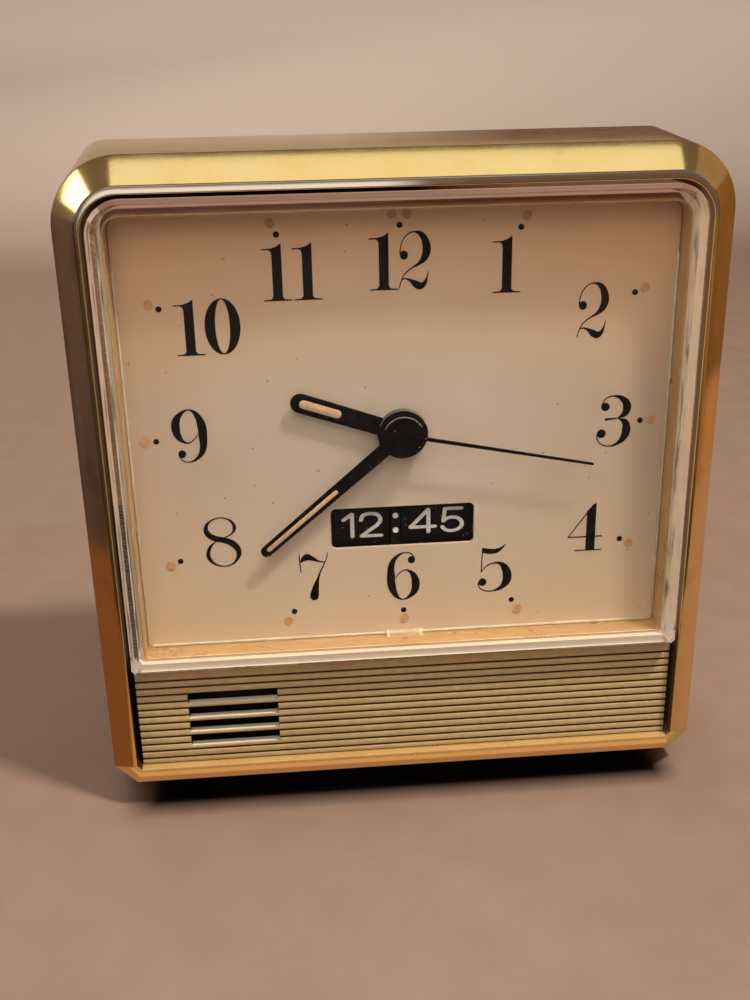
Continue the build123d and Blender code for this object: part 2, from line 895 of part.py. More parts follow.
# Dust cover over the motor and the circuit board
with BuildPart() as movement_cover:
    with BuildSketch(facing(plate_back_y + cover_depth)):
        block(-plate_half_width, plate_half_width, plate_low, plate_high)
    extrude(amount=cover_depth)
    with BuildSketch(facing(plate_back_y + cover_depth - cover_wall)):
        block(
            -plate_half_width + cover_wall,
            plate_half_width - cover_wall,
            plate_low + cover_wall,
            plate_high - cover_wall,
        )
    extrude(amount=cover_depth - cover_wall, mode=Mode.SUBTRACT)
    with BuildSketch(facing(plate_back_y + cover_depth)):
        with Locations((set_x, set_z)):
            Circle(set_shaft_radius + running)
    extrude(amount=cover_wall, mode=Mode.SUBTRACT)
keep(movement_cover.part, "movement_cover")

# Circuit board, the sealed chip and the quartz can
board_y = plate_back_y + board_standoff
with BuildPart() as circuit_board:
    with BuildSketch(facing(board_y + board_thickness)):
        block(board_left, board_right, board_low, board_high)
    extrude(amount=board_thickness)
keep(circuit_board.part, "circuit_board")

chip_z = (board_low + board_high) / 2
with BuildPart() as chip:
    with BuildSketch(facing(board_y + board_thickness + chip_height)):
        with Locations(((board_left + board_right) / 2, chip_z)):
            Circle(chip_radius)
    extrude(amount=chip_height)
    chamfer(chip.faces().sort_by(Axis.Y)[-1].edges(), length=chip_height / 2)
keep(chip.part, "chip")

quartz_y = board_y + board_thickness + quartz_radius
quartz_left = board_right - quartz_length - quartz_radius
spindle(
    "quartz_can",
    quartz_y,
    board_low + quartz_radius * 2,
    [(quartz_radius, quartz_left, quartz_left + quartz_length)],
)

# Stepping motor: stator plate with the rotor hole, two legs and the core through the coil
stator_y = plate_back_y + stator_behind
stator_low = rotor_z - stator_foot_height / 2
stator_high = rotor_z + stator_foot_height / 2
coil_z = rotor_z + coil_lift
core_half = stator_leg / 2
with BuildPart() as stator:
    with BuildSketch(facing(stator_y + stator_thickness)):
        block(stator_left, stator_right, stator_low, stator_high)
        block(stator_left, stator_left + stator_leg, stator_high, coil_z + core_half)
        block(stator_right - stator_leg, stator_right, stator_high, coil_z + core_half)
        block(stator_left, stator_right, coil_z - core_half, coil_z + core_half)
        with Locations((rotor_x, rotor_z)):
            Circle(rotor_radius + stator_gap, mode=Mode.SUBTRACT)
    extrude(amount=stator_thickness)
keep(stator.part, "stator")

coil_left = stator_left + stator_leg + seat_gap
coil_right = stator_right - stator_leg - seat_gap
coil_y = stator_y + stator_thickness / 2
with BuildPart() as coil_bobbin:
    with BuildSketch(sideways(coil_left, coil_y, coil_z)):
        Circle(core_half + bobbin_wall)
    extrude(amount=coil_right - coil_left)
    for flange_x in (coil_left, coil_right - coil_flange):
        with BuildSketch(sideways(flange_x, coil_y, coil_z)):
            Circle(coil_flange_radius)
        extrude(amount=coil_flange)
    with BuildSketch(sideways(coil_left, coil_y, coil_z)):
        Rectangle(stator_thickness + fit, stator_leg + fit)
    extrude(amount=coil_right - coil_left, mode=Mode.SUBTRACT)
keep(coil_bobbin.part, "coil_bobbin")

spindle(
    "coil_winding",
    coil_y,
    coil_z,
    [(coil_radius, coil_left + coil_flange, coil_right - coil_flange)],
    bore=core_half + bobbin_wall,
)

# Rotor: pinion in front of the main plate, magnet in the stator's hole
rotor_phase = meshing(intermediate_wheel_teeth, 0, rotor_teeth, rotor_angle)
magnet_front = coil_y - rotor_height / 2
arbor(
    "rotor",
    rotor_x,
    rotor_z,
    [
        ((rotor_teeth, rotor_module, rotor_phase), intermediate_layer, plate_front_y - layer_gap),
        (second_arbor, plate_front_y - layer_gap, magnet_front),
        (rotor_radius, magnet_front, magnet_front + rotor_height),
    ],
)

# Intermediate wheel: wheel to the rotor, pinion to the second wheel
intermediate_phase = meshing(second_wheel_teeth, 0, intermediate_pinion_teeth, intermediate_angle)
arbor(
    "intermediate_wheel",
    intermediate_x,
    intermediate_z,
    [
        (pivot, frame_front_y + frame_thickness / 2, plate_back_y),
        ((intermediate_pinion_teeth, second_module, intermediate_phase), second_layer, third_layer),
        (
            (intermediate_wheel_teeth, rotor_module, 0),
            intermediate_layer,
            intermediate_layer + wheel_thickness,
        ),
    ],
)

# Second wheel on the arbor that carries the second hand
second_front_y = dial_y - hour_hand_rise - 3 * hand_thickness - 2 * hand_gap
third_phase = 0
second_pinion_phase = meshing(third_wheel_teeth, third_phase, second_pinion_teeth, third_angle + 180)
arbor(
    "second_wheel",
    0,
    dial_z,
    [
        (second_arbor, second_front_y, plate_back_y),
        ((second_wheel_teeth, second_module, 0), second_layer, second_layer + wheel_thickness),
        (
            (second_pinion_teeth, third_module, second_pinion_phase),
            third_layer,
            third_layer + pinion_thickness,
        ),
    ],
)

# Third wheel: wheel to the second pinion, pinion to the centre wheel
third_pinion_phase = meshing(centre_wheel_teeth, 0, third_pinion_teeth, third_angle)
arbor(
    "third_wheel",
    third_x,
    third_z,
    [
        (pivot, frame_front_y + frame_thickness / 2, plate_back_y),
        (
            (third_pinion_teeth, centre_module, third_pinion_phase),
            centre_layer,
            centre_layer + wheel_thickness,
        ),
        (
            (third_wheel_teeth, third_module, third_phase),
            third_layer,
            third_layer + pinion_thickness,
        ),
    ],
)

# Centre wheel, a friction fit on the cannon pinion's tube
arbor(
    "centre_wheel",
    0,
    dial_z,
    [((centre_wheel_teeth, centre_module, 0), centre_layer, centre_layer + wheel_thickness)],
    bore=minute_tube + running,
)

# Cannon pinion, the tube that carries the minute hand
minute_front_y = dial_y - hour_hand_rise - 2 * hand_thickness - hand_gap
cannon_phase = meshing(minute_wheel_teeth, 0, cannon_teeth, minute_wheel_angle + 180)
arbor(
    "cannon_pinion",
    0,
    dial_z,
    [
        (minute_tube, minute_front_y, centre_layer + wheel_thickness),
        ((cannon_teeth, motion_module, cannon_phase), cannon_layer, cannon_layer + pinion_thickness),
    ],
    bore=second_arbor + running,
)

# Minute wheel of the motion work, on a stud of the inner frame
minute_pinion_phase = 0
arbor(
    "minute_wheel",
    minute_wheel_x,
    minute_wheel_z,
    [
        ((minute_pinion_teeth, hour_module, minute_pinion_phase), hour_layer, cannon_layer),
        ((minute_wheel_teeth, motion_module, 0), cannon_layer, cannon_layer + pinion_thickness),
    ],
    bore=motion_stud + running,
)

# Hour wheel, the tube that carries the hour hand
hour_front_y = dial_y - hour_hand_rise - hand_thickness
hour_phase = meshing(minute_pinion_teeth, minute_pinion_phase, hour_wheel_teeth, minute_wheel_angle + 180)
arbor(
    "hour_wheel",
    0,
    dial_z,
    [
        (hour_tube, hour_front_y, hour_layer),
        ((hour_wheel_teeth, hour_module, hour_phase), hour_layer, hour_layer + pinion_thickness),
    ],
    bore=minute_tube + running,
)


def hand_outline(length, hub_width, tip_width):
    """Hand pointing along local +y with a round tip, in the sketch that is open."""
    tip = tip_width / 2
    with BuildLine() as edge:
        Polyline((-tip, length - tip), (-hub_width / 2, 0), (hub_width / 2, 0), (tip, length - tip))
        CenterArc((0, length - tip), tip, 0, 180)
    make_face(edge.edges())


def lume_outline(start, end, width):
    """Slot of a hand that holds luminous paint, between two distances from the dial centre."""
    with Locations((0, (start + end) / 2)):
        SlotOverall(end - start, width, rotation=90)


def hand_plane(y, angle):
    """Plane of a hand whose local +y points at an angle in degrees clockwise from twelve."""
    turn = math.radians(angle)
    return Plane(origin=(0, y, dial_z), x_dir=(math.cos(turn), 0, -math.sin(turn)), z_dir=(0, -1, 0))


hour_angle = (shown_hours + shown_minutes / 60) * 360 / 12
minute_angle = shown_minutes * 360 / 60
second_angle = shown_seconds * 360 / 60
hour_lume_end = hour_length - hour_lume_inset
minute_lume_end = minute_length - minute_lume_inset

# Hour hand, slotted for its strip of luminous paint
with BuildPart() as hour_hand:
    with BuildSketch(hand_plane(hour_front_y + hand_thickness, hour_angle)):
        hand_outline(hour_length, hour_hub_width, hour_tip_width)
        Circle(hub_radius)
        Circle(hour_tube, mode=Mode.SUBTRACT)
    extrude(amount=hand_thickness)
    with BuildSketch(hand_plane(hour_front_y + hand_thickness, hour_angle)):
        lume_outline(hour_lume_start, hour_lume_end, hour_lume_width)
    extrude(amount=hand_thickness, mode=Mode.SUBTRACT)
keep(hour_hand.part, "hour_hand")

with BuildPart() as hour_lume:
    with BuildSketch(hand_plane(hour_front_y + hand_thickness, hour_angle)):
        lume_outline(hour_lume_start, hour_lume_end, hour_lume_width)
    extrude(amount=hand_thickness)
keep(hour_lume.part, "hour_lume")

# Minute hand, slotted the same way
with BuildPart() as minute_hand:
    with BuildSketch(hand_plane(minute_front_y + hand_thickness, minute_angle)):
        hand_outline(minute_length, minute_hub_width, minute_tip_width)
        Circle(hub_radius)
        Circle(minute_tube, mode=Mode.SUBTRACT)
    extrude(amount=hand_thickness)
    with BuildSketch(hand_plane(minute_front_y + hand_thickness, minute_angle)):
        lume_outline(minute_lume_start, minute_lume_end, minute_lume_width)
    extrude(amount=hand_thickness, mode=Mode.SUBTRACT)
keep(minute_hand.part, "minute_hand")

with BuildPart() as minute_lume:
    with BuildSketch(hand_plane(minute_front_y + hand_thickness, minute_angle)):
        lume_outline(minute_lume_start, minute_lume_end, minute_lume_width)
    extrude(amount=hand_thickness)
keep(minute_lume.part, "minute_lume")

# Second hand, a thin needle, and the cap in front of it
with BuildPart() as second_hand:
    with BuildSketch(hand_plane(second_front_y + hand_thickness, second_angle)):
        hand_outline(second_length, second_hub_width, second_tip_width)
        Circle(minute_tube)
        Circle(second_arbor, mode=Mode.SUBTRACT)
    extrude(amount=hand_thickness)
keep(second_hand.part, "second_hand")

with BuildPart() as hand_cap:
    with BuildSketch(facing(second_front_y, 0, dial_z)):
        Circle(hand_cap_radius)
    extrude(amount=cap_thickness)
    fillet(hand_cap.faces().sort_by(Axis.Y)[0].edges(), radius=cap_thickness / 3)
keep(hand_cap.part, "hand_cap")

# Time setting shaft with its pinion, and the knob on its end
knob_front_y = pocket_floor_y + free_gap
knob_back_y = cover_back_y + knob_proud
set_phase = meshing(minute_wheel_teeth, 0, set_pinion_teeth, set_angle)
arbor(
    "time_set_shaft",
    set_x,
    set_z,
    [
        ((set_pinion_teeth, motion_module, set_phase), cannon_layer, cannon_layer + pinion_thickness),
        (set_shaft_radius, cannon_layer + pinion_thickness, knob_back_y - knob_proud / 2),
    ],
)
with BuildPart() as time_set_knob:
    with BuildSketch(facing(knob_back_y, set_x, set_z)):
        Circle(knob_radius)
        with PolarLocations(knob_radius, knob_lobes):
            Circle(knob_lobe_radius, mode=Mode.SUBTRACT)
    extrude(amount=knob_back_y - knob_front_y)
    with BuildSketch(facing(knob_back_y - knob_proud / 2, set_x, set_z)):
        Circle(set_shaft_radius)
    extrude(amount=knob_back_y - knob_proud / 2 - knob_front_y, mode=Mode.SUBTRACT)
keep(time_set_knob.part, "time_set_knob")


def drum(label, left, right, web_left, gear, bore):
    """Number drum on the drum axis: shell and hub joined by a web, with the layers of any gear beside it."""
    shell = drum_radius - drum_wall
    pockets = [
        (shell, drum_hub, left, web_left),
        (shell, drum_hub, web_left + drum_web, right),
    ]
    spindle(label, drum_y, window_z, [(drum_radius, left, right), *gear], bore, pockets)


# Alarm drums, the shaft that turns with the minute drum, and the idler of the 12 to 1 reduction
down = -90
hour_drum_phase = 0
idler_small_phase = meshing(alarm_hour_teeth, hour_drum_phase, alarm_small_teeth, down)
shaft_pinion_phase = meshing(alarm_wheel_teeth, 0, alarm_pinion_teeth, down + 180)
drive_phase = 0
thumb_phase = meshing(drive_teeth, drive_phase, thumb_teeth, 0)
drum(
    "hour_drum",
    hour_drum_left,
    hour_drum_right,
    hour_drum_right - drum_web * 2,
    [
        (drum_hub, hour_gear_left, hour_drum_left),
        (
            (alarm_hour_teeth, alarm_hour_module, hour_drum_phase),
            hour_gear_left,
            hour_gear_left + alarm_gear_width,
        ),
    ],
    drum_shaft_radius + running,
)
drum(
    "minute_drum",
    minute_drum_left,
    minute_drum_right,
    minute_drum_left + drum_web,
    [],
    drum_shaft_radius,
)
spindle(
    "drum_shaft",
    drum_y,
    window_z,
    [
        (drum_shaft_radius, bracket_left_x - bracket_thickness, bracket_right_x + bracket_thickness),
        (
            (alarm_pinion_teeth, alarm_module, shaft_pinion_phase),
            pinion_left,
            pinion_left + alarm_gear_width,
        ),
        ((drive_teeth, drive_module, drive_phase), drive_left, drive_left + drive_width),
    ],
)
spindle(
    "alarm_idler",
    drum_y,
    idler_z,
    [
        ((alarm_wheel_teeth, alarm_module, 0), pinion_left, pinion_left + alarm_gear_width),
        (
            (alarm_small_teeth, alarm_hour_module, idler_small_phase),
            pinion_left + alarm_gear_width,
            hour_gear_left + alarm_gear_width,
        ),
    ],
    bore=idler_stud_radius + running,
)


def bracket(label, x, foot_left, stud_radius, stud_y, stud_z, stud_left, stud_right):
    """Upright plate with a foot on the inner frame, which carries the drum shaft and one stud."""
    with BuildPart() as piece:
        with BuildSketch(sideways(x, frame_back_y, window_z)):
            block(0, bracket_reach, -bracket_half_height, bracket_half_height)
            block(bracket_reach, thumb_y - frame_back_y + drum_hub, -drum_hub, drum_hub)
        extrude(amount=bracket_thickness)
        with BuildSketch(sideways(foot_left, frame_back_y, window_z)):
            block(0, bracket_thickness, -bracket_half_height, bracket_half_height)
        extrude(amount=bracket_foot)
        with BuildSketch(sideways(stud_left, stud_y, stud_z)):
            Circle(stud_radius)
        extrude(amount=stud_right - stud_left)
        with BuildSketch(sideways(x, drum_y, window_z)):
            Circle(drum_shaft_radius + running)
        extrude(amount=bracket_thickness, mode=Mode.SUBTRACT)
    keep(piece.part, label)


bracket(
    "drum_bracket_left",
    bracket_left_x - bracket_thickness,
    bracket_left_x - bracket_thickness - bracket_foot,
    idler_stud_radius,
    drum_y,
    idler_z,
    bracket_left_x - bracket_thickness,
    hour_gear_left + alarm_gear_width,
)
bracket(
    "drum_bracket_right",
    bracket_right_x,
    bracket_right_x + bracket_thickness,
    thumb_stud_radius,
    thumb_y,
    window_z,
    drive_left,
    bracket_right_x + bracket_thickness,
)

# Alarm setting thumb wheel on its stud, geared to the drum shaft
with BuildPart() as alarm_set_wheel:
    with BuildSketch(sideways(thumb_left, thumb_y, window_z)):
        Circle(thumb_radius)
        with PolarLocations(thumb_radius, thumb_lobes):
            Circle(thumb_lobe_radius, mode=Mode.SUBTRACT)
    extrude(amount=thumb_width)
    with BuildSketch(sideways(drive_left, thumb_y, window_z)):
        toothed(thumb_teeth, drive_module, thumb_phase)
    extrude(amount=drive_width)
    with BuildSketch(sideways(drive_left, thumb_y, window_z)):
        Circle(drum_hub)
    extrude(amount=thumb_left - drive_left)
    with BuildSketch(sideways(drive_left, thumb_y, window_z)):
        Circle(thumb_stud_radius + running)
    extrude(amount=thumb_left + thumb_width - drive_left, mode=Mode.SUBTRACT)
keep(alarm_set_wheel.part, "alarm_set_wheel")

# Alarm switch: button, shank through the slot and a flange behind the floor
with BuildPart() as alarm_switch:
    with BuildSketch(facing(cover_back_y + switch_proud)):
        with Locations((switch_x, switch_z)):
            Rectangle(switch_width, switch_height)
    extrude(amount=cover_back_y + switch_proud - switch_floor_y - running)
    with BuildSketch(facing(switch_floor_y + running)):
        with Locations((switch_x, switch_z)):
            Rectangle(switch_shank, switch_shank)
    extrude(amount=switch_floor_y - cover_inner_y + running * 2)
    with BuildSketch(facing(cover_inner_y - running)):
        with Locations((switch_x, switch_z)):
            Rectangle(switch_width, switch_height)
    extrude(amount=switch_flange)
keep(alarm_switch.part, "alarm_switch")

# Buzzer behind the sound slots: holder ring and sounding disc
buzzer_seat = frame_back_y + buzzer_step
with BuildPart() as buzzer_ring:
    with BuildSketch(facing(frame_back_y + buzzer_depth, sound_x, sound_z)):
        Circle(buzzer_radius)
    extrude(amount=buzzer_depth)
    with BuildSketch(facing(frame_back_y + buzzer_depth, sound_x, sound_z)):
        Circle(buzzer_bore)
    extrude(amount=buzzer_depth, mode=Mode.SUBTRACT)
    with BuildSketch(facing(frame_back_y + buzzer_depth, sound_x, sound_z)):
        Circle(buzzer_disc_radius + running)
    extrude(amount=buzzer_depth - buzzer_step, mode=Mode.SUBTRACT)
keep(buzzer_ring.part, "buzzer_ring")

arbor(
    "buzzer_disc",
    sound_x,
    sound_z,
    [(buzzer_disc_radius, buzzer_seat, buzzer_seat + buzzer_disc_thickness)],
)
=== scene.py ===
# %% [markdown]
# # A travel alarm clock, dressed in Blender
# The solids come from CAD and stay where they are. This file gives them their finishes, rebuilds the pieces
# whose edges and corners the eye stops at, and adds what is printed on the dial and on the alarm drums.
# Everything is in metres, and the helper MM turns a size in millimetres into metres.

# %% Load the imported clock
import json
import math
import bmesh
import bpy
from mathutils import Euler, Matrix, Vector


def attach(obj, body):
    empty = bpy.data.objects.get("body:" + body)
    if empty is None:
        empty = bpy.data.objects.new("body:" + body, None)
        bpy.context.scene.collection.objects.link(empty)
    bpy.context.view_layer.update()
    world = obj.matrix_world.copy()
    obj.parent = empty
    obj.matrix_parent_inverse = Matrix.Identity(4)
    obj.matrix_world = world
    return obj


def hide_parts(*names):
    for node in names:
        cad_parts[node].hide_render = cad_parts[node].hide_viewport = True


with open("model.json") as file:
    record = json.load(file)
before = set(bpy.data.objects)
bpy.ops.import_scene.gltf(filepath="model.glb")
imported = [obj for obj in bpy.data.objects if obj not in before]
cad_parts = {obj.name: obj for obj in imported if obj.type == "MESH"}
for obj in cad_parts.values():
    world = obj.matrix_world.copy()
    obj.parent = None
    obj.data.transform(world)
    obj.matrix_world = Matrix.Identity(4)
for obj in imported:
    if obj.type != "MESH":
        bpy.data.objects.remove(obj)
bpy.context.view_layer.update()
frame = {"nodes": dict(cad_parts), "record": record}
nodes = frame["nodes"]
body_of_node = {n: b for b, group in frame["record"]["behaviour"]["bodies"].items() for n in group}
slot_of_node = {s["node"]: s["material_slot"] for s in frame["record"]["subparts"]}
MM = 0.001

# %% [markdown]
# ## Camera
# The clock was photographed from slightly above and slightly left of its middle, close by. A camera is placed
# from its eye point and viewing direction, because Blender's own framing helpers use another picture size.

# %% Place the camera
eye = Vector((-14.05, -146.43, 94.17)) * MM
ahead = Vector((0.0729, 0.928, -0.3655)).normalized()
side = ahead.cross(Vector((0.0487, 0.3627, 0.9306))).normalized()
lens = bpy.data.cameras.new("view")
lens.sensor_fit = "VERTICAL"
lens.sensor_height = 36
lens.lens = 41.4
lens.clip_start = 0.01
camera = bpy.data.objects.new("view", lens)
camera.matrix_world = Matrix.Translation(eye) @ Matrix((side, side.cross(ahead), -ahead)).transposed().to_4x4()
bpy.context.scene.collection.objects.link(camera)
bpy.context.scene.camera = camera
print("camera at", [round(c / MM, 1) for c in eye])

# %% [markdown]
# ## Node helpers
# Every finish here is a Principled shader fed by a few textures. These helpers add one node, lay a tint over
# another, and make masks, so that each finish below reads as a short recipe.

# %% Helpers for finishes
def node(material, kind, **values):
    """Adds a node and sets its settings or the sockets with these names."""
    made = material.node_tree.nodes.new(kind)
    for key, value in values.items():
        if hasattr(made, key):
            setattr(made, key, value)
        else:
            made.inputs[key.replace("_", " ")].default_value = value
    return made


def join(material, source, target):
    material.node_tree.links.new(source, target)


def shader_of(material):
    return material.node_tree.nodes["Principled BSDF"]


def tune(material, **values):
    """Sets what is the same all over a finish on the shader's own sockets."""
    for key, value in values.items():
        shader_of(material).inputs[key.replace("_", " ")].default_value = value


def place_on(material):
    """The place on the object, from which every grain and mask starts."""
    found = material.node_tree.nodes.get("place")
    return (found or node(material, "ShaderNodeTexCoord", name="place")).outputs["Object"]


def finish(name, dark, light, rough, grain, relief=0.1, metallic=0.0, stretch=(1, 1, 1)):
    """A finish whose tint, gloss and relief vary with a grain of one size in millimetres."""
    material = bpy.data.materials.new(name)
    material.use_nodes = True
    tune(material, Metallic=metallic)
    shader = shader_of(material)
    darkest, lightest = 0.3, 0.7
    scale = node(material, "ShaderNodeMapping", Scale=stretch)
    noise = node(material, "ShaderNodeTexNoise", Scale=1 / (grain * MM), Detail=5.0, Roughness=0.6)
    tint = node(material, "ShaderNodeValToRGB")
    for stop, position, colour in zip(tint.color_ramp.elements, (darkest, lightest), (dark, light)):
        stop.position, stop.color = position, (*colour, 1)
    gloss = node(material, "ShaderNodeMapRange", From_Min=darkest, From_Max=lightest,
                 To_Min=rough[0], To_Max=rough[1])
    bump = node(material, "ShaderNodeBump", name="bump", Strength=relief, Distance=grain * MM * 0.25)
    join(material, place_on(material), scale.inputs["Vector"])
    join(material, scale.outputs[0], noise.inputs["Vector"])
    join(material, noise.outputs[0], tint.inputs[0])
    join(material, noise.outputs[0], gloss.inputs["Value"])
    join(material, noise.outputs[0], bump.inputs["Height"])
    join(material, tint.outputs[0], shader.inputs["Base Color"])
    join(material, gloss.outputs[0], shader.inputs["Roughness"])
    join(material, bump.outputs[0], shader.inputs["Normal"])
    return material


def over(material, mask, colour, entry="Base Color"):
    """Lays a tint, or another gloss, over a finish where a mask is bright."""
    shader = shader_of(material)
    under = shader.inputs[entry].links[0].from_socket
    is_tint = entry == "Base Color"
    mix = node(material, "ShaderNodeMix", data_type="RGBA" if is_tint else "FLOAT")
    first, second, out = (6, 7, 2) if is_tint else (2, 3, 0)
    join(material, mask, mix.inputs[0])
    join(material, under, mix.inputs[first])
    mix.inputs[second].default_value = (*colour, 1) if is_tint else colour
    join(material, mix.outputs[out], shader.inputs[entry])


def both(material, first, second):
    """The part of two masks that they share."""
    product = node(material, "ShaderNodeMath", operation="MULTIPLY")
    join(material, first, product.inputs[0])
    join(material, second, product.inputs[1])
    return product.outputs[0]


def band(material, axis, start, end, high=1.0):
    """A mask that rises along one axis of the object, between two places in millimetres."""
    parts = node(material, "ShaderNodeSeparateXYZ")
    ramp = node(material, "ShaderNodeMapRange", From_Min=start * MM, From_Max=end * MM, To_Max=high)
    join(material, place_on(material), parts.inputs[0])
    join(material, parts.outputs[axis], ramp.inputs["Value"])
    return ramp.outputs[0]


def patches(material, size, start, end, stretch=(1, 1, 1), turn=(0, 0, 0), high=1.0):
    """A mask of soft patches or streaks of noise, dark under start and bright over end."""
    scale = node(material, "ShaderNodeMapping", Scale=stretch, Rotation=turn)
    noise = node(material, "ShaderNodeTexNoise", Scale=1 / (size * MM), Detail=4.0)
    ramp = node(material, "ShaderNodeMapRange", From_Min=start, From_Max=end, To_Max=high)
    join(material, place_on(material), scale.inputs["Vector"])
    join(material, scale.outputs[0], noise.inputs["Vector"])
    join(material, noise.outputs[0], ramp.inputs["Value"])
    return ramp.outputs[0]


def specks(material, size, reach, high=1.0):
    """A mask of small scattered dots, one in each cell of a size, most of them left out."""
    left_out, core = 0.7, 0.6
    cells = node(material, "ShaderNodeTexVoronoi", Scale=1 / (size * MM))
    ramp = node(material, "ShaderNodeMapRange", From_Min=reach, From_Max=reach * core, To_Max=high)
    some = node(material, "ShaderNodeSeparateColor")
    chosen = node(material, "ShaderNodeMath", operation="GREATER_THAN")
    chosen.inputs[1].default_value = left_out
    join(material, place_on(material), cells.inputs["Vector"])
    join(material, cells.outputs["Distance"], ramp.inputs["Value"])
    join(material, cells.outputs["Color"], some.inputs[0])
    join(material, some.outputs[0], chosen.inputs[0])
    return both(material, ramp.outputs[0], chosen.outputs[0])

# %% [markdown]
# ## Gold plate
# The bezel is gold plated and has been wiped for decades: it is a warm mirror with a haze of fine scratches.
# The haze is a second, rougher gloss laid over the first by streaks of noise in two directions, so that the
# mirror stays clear between them. Along the top of the narrow lip next to the crystal the gold has worn down to
# pale metal. The step behind the lip is painted dark at the top and sides, a painted shade that turns brown
# towards the right as painted light, and at the bottom it is a rougher, half-metallic gold that catches the
# lamps. The thin rim inside the crystal is a duller gilt.

# %% Gold
gold = finish("gold_plate", (0.90, 0.60, 0.22), (0.95, 0.67, 0.28), (0.09, 0.15), 6.0, relief=0.0, metallic=1.0)
over(gold, patches(gold, 0.5, 0.52, 0.7, (12, 12, 1), (0.3, 0.7, 0.2)), 0.24, "Roughness")
over(gold, patches(gold, 0.6, 0.56, 0.72, (1, 10, 14), (0.2, -0.6, 0.4)), 0.28, "Roughness")
over(gold, patches(gold, 7.0, 0.58, 0.72, high=0.5), (0.55, 0.30, 0.10))
over(gold, specks(gold, 2.6, 0.035, 0.8), (0.25, 0.13, 0.05))
worn_lip = finish("worn_lip", (0.80, 0.71, 0.60), (0.86, 0.78, 0.68), (0.07, 0.12), 5.0, relief=0.0, metallic=1.0)
# Painted shade: the step behind the lip is a nearly black gold, and turns brown towards the right as painted light.
painted_shade_step = finish("painted_shade_step", (0.05, 0.03, 0.018), (0.12, 0.07, 0.03), (0.3, 0.45), 2.0, relief=0.0, metallic=0.6)
over(painted_shade_step, band(painted_shade_step, 0, 2, 14), (0.30, 0.19, 0.11))
lit_step = finish("lit_step", (0.84, 0.54, 0.20), (0.90, 0.62, 0.26), (0.25, 0.35), 4.0, relief=0.0, metallic=0.5)
rim_gilt = finish("rim_gilt", (0.48, 0.29, 0.13), (0.55, 0.35, 0.17), (0.25, 0.38), 6.0, relief=0.0, metallic=0.4)
over(rim_gilt, specks(rim_gilt, 1.5, 0.03, 0.6), (0.25, 0.14, 0.07))
print("gold has", len(gold.node_tree.nodes), "nodes")

# %% [markdown]
# ## Clear acrylic
# The crystal is a moulded box. Its front pane is clear, and its side walls are seen edge-on, pale cream with a
# thin line of grime in the inner corner. So the pane gets a glass shader, which lets shadow rays pass so that
# the dial behind is lit, and the walls get a milky one. The walls' tint also makes them glow faintly, painted
# light that stands in for the light clear plastic guides from its front to its edges, and that tint holds
# painted shade too, browner along the top and duller along the bottom. Along the top the outer wall shows the
# gap behind the bezel, painted dark there as painted shade, with a painted glow of dull brown towards the right.

# %% Crystal finishes
pane = finish("crystal_pane", (0.96, 0.95, 0.91), (0.99, 0.985, 0.97), (0.0, 0.01), 20.0, relief=0.0)
tune(pane, Transmission_Weight=1.0, IOR=1.45, Specular_IOR_Level=0.25)
over(pane, patches(pane, 1.2, 0.64, 0.8, (1, 1, 9), (0.0, 0.9, 0.0)), 0.05, "Roughness")
ray = node(pane, "ShaderNodeLightPath")
clear = node(pane, "ShaderNodeBsdfTransparent", Color=(0.98, 0.97, 0.95, 1))
choice = node(pane, "ShaderNodeMixShader")
join(pane, ray.outputs["Is Shadow Ray"], choice.inputs[0])
join(pane, shader_of(pane).outputs[0], choice.inputs[1])
join(pane, clear.outputs[0], choice.inputs[2])
join(pane, choice.outputs[0], pane.node_tree.nodes["Material Output"].inputs["Surface"])

edge = finish("crystal_wall", (0.43, 0.31, 0.20), (0.52, 0.40, 0.28), (0.10, 0.18), 3.0, relief=0.0)
# Painted shade: the walls are browner and darker along the top, and duller and greyer along the bottom, where more
# light falls.
over(edge, band(edge, 2, 75.5, 78.2), (0.37, 0.20, 0.12))
over(edge, band(edge, 2, 24, 21.5), (0.46, 0.37, 0.28))
for sign in (-1, 1):
    inner = both(edge, band(edge, 0, sign * 33.9, sign * 34.1), band(edge, 0, sign * 34.6, sign * 34.4))
    corner = both(edge, band(edge, 1, -13.3, -13.6), inner)
    grime = both(edge, corner, patches(edge, 1.6, 0.48, 0.62, (1, 1, 0.3), high=0.8))
    over(edge, grime, (0.06, 0.06, 0.05))
# Painted light: the walls' own tint is also their emission, so they glow faintly though they are no lamp.
wall_tint_as_glow = shader_of(edge).inputs["Base Color"].links[0].from_socket
join(edge, wall_tint_as_glow, shader_of(edge).inputs["Emission Color"])
tune(edge, Emission_Strength=0.6)
# Painted shade: the top of the outer wall is almost black, with a painted glow of dull brown towards the right.
brow_shade = finish("crystal_brow", (0.012, 0.009, 0.008), (0.03, 0.022, 0.018), (0.2, 0.3), 2.0, relief=0.0)
tune(brow_shade, Emission_Color=(0.12, 0.065, 0.036, 1))
join(brow_shade, band(brow_shade, 0, 2, 14), shader_of(brow_shade).inputs["Emission Strength"])
print("crystal finishes ready")

# %% [markdown]
# ## Satin champagne dial
# The dial is a satin lacquered plate. It has a soft sheen and faint stains. Its tint also holds painted shade
# and light: browner towards the sides, a deep orange towards the top, warmer and a little lighter towards the
# bottom.

# %% Dial finish
dial_finish = finish("champagne", (0.57, 0.47, 0.39), (0.62, 0.52, 0.44), (0.36, 0.46), 14.0, relief=0.0, metallic=0.2)
over(dial_finish, patches(dial_finish, 9.0, 0.5, 0.75, high=0.3), (0.50, 0.37, 0.27))
# Painted shade: browner towards both sides.
for sign in (-1, 1):
    over(dial_finish, band(dial_finish, 0, sign * 8, sign * 34, high=0.65), (0.48, 0.345, 0.235))
